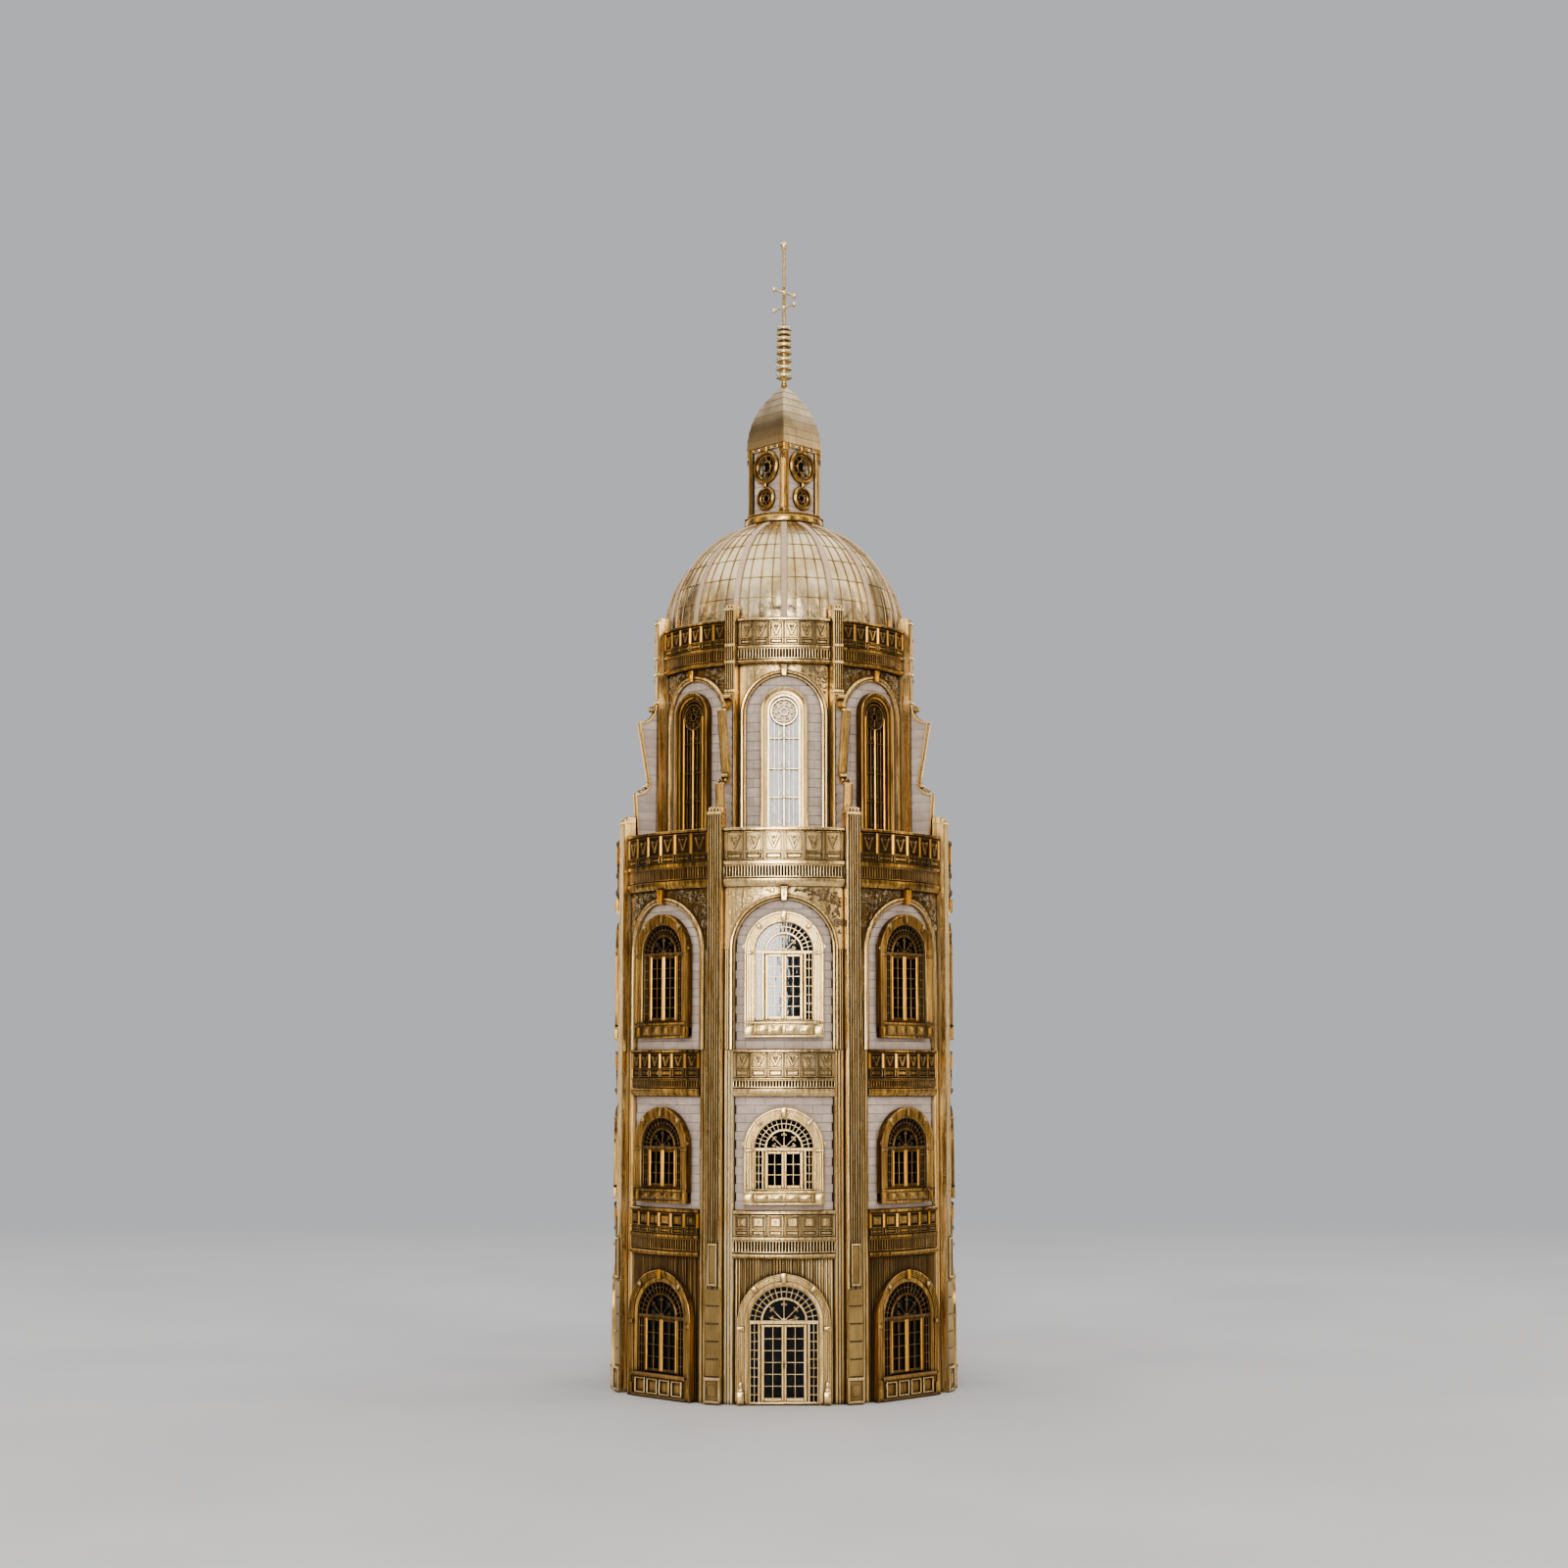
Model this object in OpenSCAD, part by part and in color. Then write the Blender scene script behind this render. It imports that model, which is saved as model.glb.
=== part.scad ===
// Tower monstrance: a round gilt tower of four storeys with eight bays, stone-faced fields,
// a glazed upper chamber holding a luna, and a lift-off dome with lantern and finial.
// Millimetres. +Z up, origin on the resting plane at the tower's axis. The door faces -Y.
// Left and right are as seen from in front of the door: left is -X.

/* [Lower tower] */
// Outer radius of the lower drums, behind the stone panels
drum_r = 98.5; // [98:0.1:99]
// Wall thickness of the drums
wall_t = 3; // [2:0.5:4]
// Radius of the gilt strips and bands between the piers
strip_r = 101.5; // [101:0.1:102]
// Thickness of a stone panel
stone_t = 1; // [0.8:0.1:1.2]
// Radius of the pier faces
pier_r = 106.5; // [105.5:0.5:107]
// Width of a pier
pier_w = 9; // [8.6:0.2:9.2]
// Height of the lower piers
pier_top = 338.4; // [334:0.2:342]
// Number of flutes on a lower pier
pier_flutes = 4; // [2:1:5]

/* [Upper chamber] */
// Outer radius of the chamber drum
chamber_r = 75; // [74.6:0.1:75.2]
// Radius of the gilt facing round the chamber
facing_r = 77.5; // [77:0.1:78]
// Radius of the upper pier faces
upier_r = 84.5; // [84:0.5:85.5]
// Width of an upper pier
upier_w = 6.5; // [6:0.1:6.8]
// Height of the upper piers
upier_top = 462; // [460:0.5:466]

/* [Dome and lantern] */
// Height of the dome's springing
dome_z = 453; // [453:0.1:453.4]
// Outer radius of the dome's panels
dome_r = 74.6; // [74.4:0.1:74.8]
// Height a rib stands proud of the panels
rib_h = 1.4; // [1:0.1:1.8]
// Number of ribs round the dome
ribs = 16; // [8:8:16]
// Side of the square lantern
lantern_a = 33; // [32:0.2:34]
// Height of the cupola above the lantern
cupola_h = 42; // [38:0.5:44]

/* [Finial] */
// Number of rings on the finial
rings = 8; // [5:1:8]
// Radius of the finial rod
rod_r = 0.95; // [0.8:0.05:1.1]
// Centre height of the top ball
ball_z = 710.6; // [700:0.1:714]

/* [Doors and casements] */
// Thickness of a leaf
leaf_t = 1.6; // [1.4:0.1:1.8]
// Radius of a hinge pin
pin_r = 0.45; // [0.4:0.05:0.5]
// Radial play between a hinge pin and its bore
pin_play = 0.05; // [0.03:0.01:0.08]
// Gap round a leaf
leaf_gap = 0.2; // [0.2:0.05:0.3]

/* [Hidden] */
$fn = 96;

gilt = [0.80, 0.62, 0.36];
gilt_dark = [0.55, 0.40, 0.20];
gilt_light = [0.90, 0.78, 0.55];
stone = [0.70, 0.64, 0.61];
glass = [0.72, 0.78, 0.86, 0.5];
felt = [0.10, 0.18, 0.12];
core_brown = [0.16, 0.12, 0.08];

hair = 0.01;                  // gap between touching pieces, overlap within a piece
drum_face = drum_r + hair;    // back of what is laid on the lower drums
chamber_face = chamber_r + hair;

// half angles seen from the axis
half_field = 16.5;            // a stone field
half_bay = 22.5 - asin((pier_w / 2 + 0.1) / drum_r);               // between lower piers
upper_half_bay = 22.5 - asin((upier_w / 2 + 0.1) / chamber_r);     // between upper piers

// storey heights
ground_top = 81;
floor_one_z = 108;
floor_two_z = 171;
floor_t = 2;
terrace_z = 304;
terrace_top = terrace_z + 4;
field_z = 198.5;              // foot of the third storey's fields
field_spring = 256;           // springing of their arches
field_top = 292;

// radii of the opening leaves and frames, measured along a bay's centre line
leaf_y = 100.2;               // outer face of every leaf
leaf_back = leaf_y - leaf_t;
hinge_y = leaf_y - leaf_t / 2;
frame_y = 102.2;              // outer face of the window frames
ground_face = strip_r - 0.9;  // face of the ground storey's fields

// ground storey openings: half widths and heights
ground_in = 19.7;
ground_out = 26.3;
ground_spring = 46.2;
ground_ring = 13.2;           // radius of the inner ring of the fan
ground_sill = 14;
door_sill = 1;
door_x = 12.4;                // hinge line from the bay's centre
door_top = 44.6;

// second and third storey windows
window_out = 22.9;
window_in = 17;
window_ring = 11;
window_x = 10.4;
second_bottom = 110.9;
second_sill = 118.8;
second_spring = 142.6;
second_leaf_top = 141;
third_bottom = 205.3;
third_sill = 214.4;
third_spring = 254.6;
third_leaf_top = 253;

// ---------- helpers ----------
module bays(first = 0) { for (i = [first:7]) rotate([0, 0, 45 * i]) children(); }
module corners() { for (i = [0:7]) rotate([0, 0, 22.5 + 45 * i]) children(); }
module quarters() { for (i = [0:3]) rotate([0, 0, 90 * i]) children(); }
// 2D round arch on y = 0
module arch2d(width, spring) {
  translate([-width / 2, 0]) square([width, spring]);
  translate([0, spring]) circle(width / 2);
}
// extrudes a 2D shape drawn in X,Z from one radius to another towards -Y
module outward(inner, outer) {
  translate([0, -inner, 0]) rotate([90, 0, 0]) linear_extrude(outer - inner) children();
}
// arch-shaped solid; bottom and spring are heights above the origin
module arch_block(half_width, bottom, spring, inner, outer) {
  translate([0, 0, bottom]) outward(inner, outer) arch2d(2 * half_width, spring - bottom);
}
// arches long enough to pass through the wall of a lower drum or of the chamber
module drum_arch(half_width, bottom, spring) arch_block(half_width, bottom, spring, 80, 120);
module chamber_arch(half_width, bottom, spring) arch_block(half_width, bottom, spring, 60, 100);
// box centred on x, its outer face at y = -front
module block(size, front, z) translate([-size[0] / 2, -front, z]) cube(size);
// box on one side of the centre line, between two distances from it
module side_block(side, inner, outer, z, height, front = leaf_y, depth = leaf_t) {
  translate([side > 0 ? inner : -outer, -front, z]) cube([outer - inner, depth, height]);
}
module core(radius, height) cylinder(r = radius, h = height, $fn = 180);
module tube(inner, outer, bottom, top) {
  translate([0, 0, bottom]) difference() {
    core(outer, top - bottom);
    translate([0, 0, -1]) core(inner, top - bottom + 2);
  }
}
// wedge about -Y between two angles
module wedge(from, to, bottom, top) {
  reach = 300;
  translate([0, 0, bottom]) linear_extrude(top - bottom) polygon([
    [0, 0],
    [reach * sin(from), -reach * cos(from)],
    [reach * sin(to), -reach * cos(to)]]);
}
module sector(inner, outer, bottom, top, half_angle) {
  intersection() {
    tube(inner, outer, bottom, top);
    wedge(-half_angle, half_angle, bottom - 1, top + 1);
  }
}
// stacked sectors; each row is inner radius, outer radius, bottom, top
module courses(rows, half_angle) {
  for (row = rows) sector(row[0], row[1], row[2], row[3], half_angle);
}
// row of boxes fanned about the axis, pitch in degrees
module slots(count, pitch, size, front, z) {
  for (k = [0:count - 1]) rotate([0, 0, (k - (count - 1) / 2) * pitch]) block(size, front, z);
}
// block with its back rounded to the wall behind it
module keystone(size, front, z, back, height) {
  difference() {
    block(size, front, z);
    core(back, height);
  }
}

// ---------- base ----------
plate_t = 5;
pad_r = 88;
screw_ring_r = 80;
screw_hole_r = 1.6;
core_in = 62;
core_out = 64;

module screw_circle() corners() translate([0, -screw_ring_r, 0]) children();
module base_plate() color(gilt_dark) difference() {
  core(drum_r - wall_t - 0.05, plate_t);
  translate([0, 0, -1]) core(pad_r, 2);
  screw_circle() translate([0, 0, -1]) cylinder(r = screw_hole_r, h = 7, $fn = 32);
}
module felt_pad() color(felt) difference() {
  core(pad_r - 0.1, 1);
  screw_circle() translate([0, 0, -1]) cylinder(r = 3.2, h = 3, $fn = 32);
}
module base_screws() color(gilt_dark) screw_circle() {
  translate([0, 0, 0.2]) cylinder(r = 3, h = 0.8, $fn = 32);
  translate([0, 0, 0.9]) cylinder(r = 1.5, h = 9.1, $fn = 32);
}
module core_tube() color(core_brown) difference() {
  union() {
    tube(core_in, core_out, plate_t, floor_one_z - hair);
    // screw bosses, tied to the tube by webs
    screw_circle() translate([0, 0, plate_t]) {
      cylinder(r = 4, h = 5.4, $fn = 32);
      translate([-3, 0, 0]) cube([6, 17, 4]);
    }
    tube(core_in, core_out, floor_one_z + floor_t + hair, floor_two_z - hair);
    tube(core_in, core_out, floor_two_z + floor_t + hair, terrace_z - hair);
  }
  screw_circle() translate([0, 0, 4]) cylinder(r = screw_hole_r, h = 6.2, $fn = 32);
  core(core_in, 400);
}

// ---------- storey drums and floors ----------
floor_hole_r = 30;

module ground_drum() color(gilt) difference() {
  union() {
    tube(drum_r - wall_t, drum_r, 0, floor_one_z);
    bays() sector(drum_r - 0.5, ground_face, 0, ground_top, half_field);
  }
  bays() drum_arch(ground_in + 3, -1, ground_spring);
}
module storey_drum(bottom, top, sill, spring) difference() {
  tube(drum_r - wall_t, drum_r, bottom, top);
  bays() drum_arch(window_in + 2, sill, spring);
}
module storey_floor(z) tube(floor_hole_r, drum_r - 0.02, z, z + floor_t);
module floor_one() color(gilt_dark) storey_floor(floor_one_z);
module second_drum() color(gilt_dark)
  storey_drum(floor_one_z + floor_t, floor_two_z, second_sill, second_spring);
module floor_two() color(gilt_dark) storey_floor(floor_two_z);
module third_drum() color(gilt_dark)
  storey_drum(floor_two_z + floor_t, terrace_z, third_sill, third_spring);
module terrace_floor() color(gilt_dark) difference() {
  tube(floor_hole_r, strip_r, terrace_z, terrace_top);
  corners() block([pier_w + 0.1, pier_r + 1 - drum_r + 0.3, 6], pier_r + 1, terrace_z - 1);
}

// ---------- gilt bands, strips and piers ----------
band_two_top = 198.4;
pier_body_r = pier_r - 0.6;   // face of a lower pier behind its blocks

// one bay of a storey band: cornice, fluted strip and panelled frieze
module band(bottom, cornice_top, flute_z, flute_top, top) {
  frieze_h = top - flute_top;
  sector(drum_face, strip_r + 1.4, bottom, cornice_top, half_field);
  difference() {
    sector(drum_face, strip_r + 0.4, cornice_top - hair, flute_top, half_field);
    slots(11, half_field / 5.6, [2, 2.1, flute_top - flute_z - 0.6], strip_r + 2, flute_z);
  }
  difference() {
    sector(drum_face, strip_r + 0.8, flute_top - hair, top, half_field);
    slots(6, 2 * half_field / 6.35, [4.62, 2.8, frieze_h * 0.46], strip_r + 3,
      flute_top + frieze_h * 0.42);
  }
}
module band_one() color(gilt) bays()
  band(bottom = ground_top, cornice_top = 83.4, flute_z = 84.4, flute_top = 92, top = 107.6);
module band_two() color(gilt) bays()
  band(bottom = 172, cornice_top = 176.2, flute_z = 176.8, flute_top = 181.6,
    top = band_two_top);
module lower_parapet() color(gilt) bays() difference() {
  courses([
    [drum_face, strip_r + 2, field_top, 296.6],
    [drum_face, strip_r + 1, 296.6 - hair, terrace_z - hair],
    [strip_r + hair, strip_r + 2, 303.9, 307],
    [strip_r + hair, strip_r + 1.4, 306.9, 324.4],
    [strip_r + hair - 1, strip_r + 2, 324.4 - hair, 326.2]], half_bay);
  slots(11, half_bay / 5.6, [2, 2.4, 6], strip_r + 3, 297.4);
  slots(6, 2 * half_bay / 6.3, [5, 2.1, 11], strip_r + 3, 312.6);
}
// strips beside the fields, cut back where the third storey's fields widen
module gilt_strips() color(gilt_light) bays() for (side = [-1, 1]) difference() {
  intersection() {
    tube(drum_face, strip_r, 0, field_spring - hair);
    wedge(side > 0 ? half_field + 0.05 : -half_bay,
      side > 0 ? half_bay : -half_field - 0.05, -1, 300);
  }
  block([62.5, 120, 60], 120, band_two_top);
}
// fluted pier with its back rounded to a drum
module pier(face, width, back, bottom, top, flutes) difference() {
  pitch = width / (flutes + 0.3);
  block([width, face - back + 3, top - bottom], face, bottom);
  translate([0, 0, bottom - 1]) core(back + hair, top - bottom + 2);
  for (k = [0:flutes - 1]) translate([(k - (flutes - 1) / 2) * pitch, -face, bottom - 1])
    cylinder(r = pitch * 0.36, h = top - bottom + 2, $fn = 24);
}
module lower_piers() color(gilt) corners() {
  cap_h = 3;
  cap_face = pier_r - 0.3;
  pier(pier_body_r, pier_w, drum_r, 0, pier_top - cap_h, pier_flutes);
  difference() {
    block([pier_w, cap_face - drum_r, cap_h + hair], cap_face, pier_top - cap_h - hair);
    core(drum_face, 400);
  }
}
module pier_blocks() color(gilt_dark) corners() {
  back = pier_body_r + hair;
  // recessed panel at the foot
  difference() {
    block([10.4, pier_r + 0.6 - back, 13.6], pier_r + 0.6, 1.6);
    block([6.8, 1.4, 8.6], pier_r + 1.6, 4);
  }
  for (k = [0:4]) block([9.2, pier_r - back, 9.4], pier_r, 15.3 + k * 9.8);
  block([6, pier_r + 0.3 - back, 23.2], pier_r + 0.3, 65.8);
}

// ---------- stone fields and their arches ----------
// half widths: the stone, and the outside of the moulded arch round it
third_stone_x = 28.2;
third_arch_x = 31.2;
lancet_field_x = 22.6;
lancet_arch_x = 26;
lancet_field_spring = 396.2;
chamber_top = 426;
// lancet windows
lancet_in = 8.7;
lancet_out = 14.1;
lancet_z = 314;
lancet_spring = 397.9;

module second_stone() color(stone) bays() difference() {
  sector(drum_face, drum_r + stone_t, 107.7, 171.9, half_field);
  drum_arch(window_out, second_bottom, second_spring);
}
module third_stone() color(stone) bays() difference() {
  intersection() {
    sector(drum_face, drum_r + stone_t, field_z, field_top - 1, half_bay);
    drum_arch(third_stone_x, field_z, field_spring);
  }
  drum_arch(window_out, third_bottom, third_spring);
}
module third_arches() color(gilt) bays() {
  // spandrels
  difference() {
    sector(drum_face, strip_r, 250, field_top - hair, half_bay);
    drum_arch(third_arch_x, 198, field_spring);
    block([120, 120, 7], 120, field_spring - 7);
  }
  // moulded arch, notched for the keystone
  difference() {
    intersection() {
      tube(drum_face, strip_r + 0.9, field_z, field_top);
      drum_arch(third_arch_x, field_z, field_spring);
    }
    drum_arch(third_stone_x + hair, 190, field_spring);
    block([4.8, 30, 12], 120, 282);
  }
  keystone([4.6, 6, 8.7], strip_r + 2.6, 283.2, drum_r + stone_t + hair, 400);
}
module chamber_stone() color(stone) bays() difference() {
  intersection() {
    sector(chamber_face, chamber_r + stone_t, terrace_top, chamber_top - 1, upper_half_bay);
    chamber_arch(lancet_field_x, terrace_top, lancet_field_spring);
  }
  chamber_arch(lancet_out, lancet_z, lancet_spring);
}
module chamber_arches() color(gilt) bays() {
  // spandrels
  difference() {
    sector(chamber_face, facing_r, terrace_top, chamber_top - hair, upper_half_bay);
    chamber_arch(lancet_arch_x, terrace_z - 5, lancet_field_spring);
  }
  // moulded arch, notched for the keystone
  difference() {
    intersection() {
      tube(chamber_face, facing_r + 0.8, terrace_top, chamber_top - 1);
      wedge(-upper_half_bay, upper_half_bay, 300, 430);
      chamber_arch(lancet_arch_x, terrace_top, lancet_field_spring);
    }
    chamber_arch(lancet_field_x + hair, terrace_z - 5, lancet_field_spring);
    block([4, 40, 9], 100, 418);
  }
  keystone([3.8, 6, 7], facing_r + 2.4, 418.4, chamber_r + stone_t + hair, 500);
}

// ---------- window parts ----------
bar_w = 0.55;                 // glazing bars
jamb_w = 1.1;

function leaf_bottom(sill) = sill + 1 + leaf_gap;

module hinge_rod(side, hinge_x, radius, z, height, facets = 24) {
  translate([side * hinge_x, -hinge_y, z]) cylinder(r = radius, h = height, $fn = facets);
}
module architrave(bottom, sill, spring) difference() {
  arch_block(window_out, bottom, spring, 94, frame_y);
  arch_block(window_in, sill, spring, 90, frame_y + 1);
  core(drum_face, 500);
}
// lining through the drum wall
module reveal(sill, spring) difference() {
  lining_t = 0.6;
  arch_block(window_in, sill, spring, 94.2, frame_y - 1);
  arch_block(window_in - lining_t, sill + lining_t, spring, 90, 110);
}
module half_ring(radius, width, z) {
  translate([0, 0, z]) outward(leaf_back, leaf_y) intersection() {
    difference() {
      circle(radius);
      circle(radius - width);
    }
    translate([-50, 0]) square(100);
  }
}
module fan_bar(angle, start, length, z) {
  translate([0, -leaf_back, z]) rotate([0, angle, 0])
    block([bar_w, leaf_t, length], leaf_t, start);
}
// frame and bars of the lights round a pair of leaves
module lights(half_width, ring, sill, spring, hinge_x, leaf_top, seats = false) {
  fan_start = ring - 0.6;
  difference() {
    union() {
      half_ring(half_width, jamb_w, spring);
      half_ring(ring, 1.5, spring);
      for (angle = [-60:30:60]) fan_bar(angle, fan_start, half_width - ring, spring);
      for (angle = [-45, 0, 45]) fan_bar(angle, 0, fan_start, spring);
      // transom
      block([2 * half_width, leaf_t, spring - leaf_top + 0.6 - leaf_gap],
        leaf_y, leaf_top + leaf_gap);
      // mullion, jamb and cross bars on each side
      for (side = [-1, 1]) {
        side_block(side, hinge_x + 0.8 + leaf_gap, hinge_x + 2.2 + leaf_gap,
          sill, spring - sill);
        side_block(side, half_width - jamb_w, half_width, sill, spring - sill);
        for (z = [sill + 9:10:leaf_top - 4])
          side_block(side, hinge_x + 1.5, half_width, z, bar_w);
      }
      // bottom rail
      block([2 * half_width, leaf_t, 1], leaf_y, sill);
    }
    // seats of the pivot pins
    if (seats) for (side = [-1, 1])
      hinge_rod(side, hinge_x, pin_r + hair, sill - 1, spring - sill + 3);
  }
}
// openings of one leaf: two columns between the distances inner and outer
module leaf_openings(side, inner, outer, bottom, top, rows) {
  width = (outer - inner) / 2 - bar_w / 2 - 0.025;
  pitch = (top - bottom - 3.4) / rows;
  for (column = [0, 1], k = [0:rows - 1])
    translate([(side > 0 ? inner : -outer) + column * (width + 0.6), -leaf_y - 1,
      bottom + 1.7 + k * pitch + 0.3])
      cube([width, leaf_t + 2, pitch - 0.6]);
}
module fixed_leaves(hinge_x, sill, leaf_top, rows) {
  inner = 0.1;
  outer = hinge_x + 0.8;
  stile = 1.8;
  bottom = sill + 1;
  top = leaf_top + 0.3;
  for (side = [-1, 1]) difference() {
    side_block(side, inner, outer, bottom, top - bottom);
    leaf_openings(side, inner + stile, outer - stile, bottom, top, rows);
  }
}
module pane(half_width, bottom, spring) {
  arch_block(half_width, bottom, spring, leaf_back - 0.8, leaf_back - hair);
}
// pane cut away behind a pair of opening leaves
module open_pane(half_width, bottom, spring, hinge_x, leaf_top) difference() {
  pane(half_width, bottom, spring);
  block([2 * hinge_x + 2.4, 4, leaf_top + 0.4], leaf_back + 1, 0);
}

// ---------- second and third storey windows ----------
pane_inset = 0.65;

module window(bottom, sill, spring, leaf_top, seats = false) {
  architrave(bottom, sill, spring);
  reveal(sill, spring);
  lights(window_in - 0.5, window_ring, sill, spring, window_x, leaf_top, seats);
}
module sill_blocks(bottom, sill) {
  for (k = [-1.5:1:1.5]) translate([k * window_out * 0.46, 0, 0])
    block([window_out * 0.4, 1, sill - bottom - 2.8], frame_y + 0.9, bottom + 1.4);
  block([2 * window_out + 1.2, 1.2, 1], frame_y + 0.8, bottom);
}
// the front bay's leaves open, the others are fixed
module storey_windows(bottom, sill, spring, leaf_top, rows) {
  bays(1) {
    window(bottom, sill, spring, leaf_top);
    fixed_leaves(window_x, sill, leaf_top, rows);
  }
  window(bottom, sill, spring, leaf_top, seats = true);
  bays() sill_blocks(bottom, sill);
}
module storey_glass(sill, spring, leaf_top) {
  half_width = window_in - pane_inset;
  bays(1) pane(half_width, sill + pane_inset, spring);
  open_pane(half_width, sill + pane_inset, spring, window_x, leaf_top);
}
module second_windows() color(gilt)
  storey_windows(second_bottom, second_sill, second_spring, second_leaf_top, rows = 2);
module third_windows() color(gilt)
  storey_windows(third_bottom, third_sill, third_spring, third_leaf_top, rows = 3);
module second_glass() color(glass) storey_glass(second_sill, second_spring, second_leaf_top);
module third_glass() color(glass) storey_glass(third_sill, third_spring, third_leaf_top);

// ---------- ground storey openings ----------
ground_frame_x = ground_in + 3;
ground_pane_x = ground_in - 0.05;
sill_w = 2 * ground_in + 5.8;

module ground_arches() color(gilt) bays() difference() {
  arch_block(ground_out, 0, ground_spring, 94, frame_y);
  arch_block(ground_frame_x, -1, ground_spring, 90, frame_y + 1);
  core(ground_face + hair, 200);
  block([4.4, 20, 10], 110, 66);
}
module ground_frame(bottom, sill) {
  difference() {
    arch_block(ground_frame_x - hair, bottom, ground_spring, 96, leaf_y + 1.6);
    arch_block(ground_in, sill, ground_spring, 90, 110);
  }
  keystone([4.3, 5, 8.4], frame_y + 1.2, 66.05, ground_face + hair, 200);
}
module ground_windows() color(gilt) bays(1) {
  ground_frame(ground_sill, ground_sill);
  lights(ground_in, ground_ring, ground_sill, ground_spring, door_x, door_top);
  fixed_leaves(door_x, ground_sill, door_top, rows = 2);
}
module ground_sills() color(gilt_dark) bays(1) {
  block([sill_w, 5, ground_sill - hair], leaf_y + 1.6, 0);
  for (k = [-1.5:1:1.5]) translate([k * 9.6, 0, 0]) block([8.4, 1.05, 9], leaf_y + 2.6, 2);
  block([sill_w, 1.3, 1.6], leaf_y + 2.8, 12);
}
module ground_glass() color(glass) bays(1)
  pane(ground_pane_x, ground_sill + 0.05, ground_spring);
module door_frame() color(gilt) {
  ground_frame(0, door_sill);
  lights(ground_in, ground_ring, door_sill, ground_spring, door_x, door_top, seats = true);
}
module door_frame_glass() color(glass)
  open_pane(ground_pane_x, door_sill + 0.05, ground_spring, door_x, door_top);

// ---------- opening leaves ----------
leaf_edge = leaf_gap / 2;     // free edge, short of the centre line
pin_depth = 1.7;              // length of a pin inside its leaf

// a leaf hung on pivots at x = side * hinge_x
module leaf(side, hinge_x, bottom, top, rows) difference() {
  union() {
    side_block(side, leaf_edge, hinge_x, bottom, top - bottom);
    hinge_rod(side, hinge_x, leaf_t / 2, bottom, top - bottom, facets = 48);
  }
  leaf_openings(side, leaf_edge + 1.6, hinge_x - 1.1, bottom, top, rows);
  // rebate for the pane
  side_block(side, leaf_edge + 1.1, hinge_x - 1, bottom + 1.2, top - bottom - 2.4,
    front = leaf_back + 0.5, depth = 0.6);
  // pin bores
  for (z = [bottom - 0.1, top - 2]) hinge_rod(side, hinge_x, pin_r + pin_play, z, 2.1);
}
module leaf_pane(side, hinge_x, bottom, top) {
  side_block(side, leaf_edge + 1.15, hinge_x - 1.05, bottom + 1.25, top - bottom - 2.5,
    front = leaf_back + 0.48, depth = 0.45);
}
module door_leaf(side) leaf(side, door_x, leaf_bottom(door_sill), door_top, rows = 6);
module door_pane(side) leaf_pane(side, door_x, leaf_bottom(door_sill), door_top);
module door_leaf_left() color(gilt_light) door_leaf(-1);
module door_leaf_right() color(gilt_light) door_leaf(1);
module door_glass_left() color(glass) door_pane(-1);
module door_glass_right() color(glass) door_pane(1);
module knob(side) {
  translate([side * 0.9, -leaf_y - hair, 22]) rotate([90, 0, 0]) {
    cylinder(r = 0.35, h = 0.7, $fn = 24);
    translate([0, 0, 1.2]) sphere(r = 0.7, $fn = 32);
  }
}
module door_knobs_left() color(gilt_light) knob(-1);
module door_knobs_right() color(gilt_light) knob(1);
module casement(side, sill, top, rows) {
  leaf(side, window_x, leaf_bottom(sill), top, rows);
  leaf_pane(side, window_x, leaf_bottom(sill), top);
}
module casement_two_left() color(gilt_light) casement(-1, second_sill, second_leaf_top, 3);
module casement_two_right() color(gilt_light) casement(1, second_sill, second_leaf_top, 3);
module casement_three_left() color(gilt_light) casement(-1, third_sill, third_leaf_top, 6);
module casement_three_right() color(gilt_light) casement(1, third_sill, third_leaf_top, 6);
module pins(hinge_x, sill, top) for (side = [-1, 1]) {
  hinge_rod(side, hinge_x, pin_r, leaf_bottom(sill) - leaf_gap - 0.3,
    0.3 + leaf_gap + pin_depth);
  hinge_rod(side, hinge_x, pin_r, top - pin_depth, pin_depth + leaf_gap + 1);
}
module hinge_pins() color(gilt_dark) {
  pins(door_x, door_sill, door_top);
  pins(window_x, second_sill, second_leaf_top);
  pins(window_x, third_sill, third_leaf_top);
}

// ---------- upper chamber ----------
collar_top = 430;
dome_clear_r = 76.6;          // pier backs above the chamber, clear of the dome as it lifts
rose_z = lancet_spring - 0.5;
lancet_bars = [329, 346.2, 363.3, 381.4];   // heights of the cross bars

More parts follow.
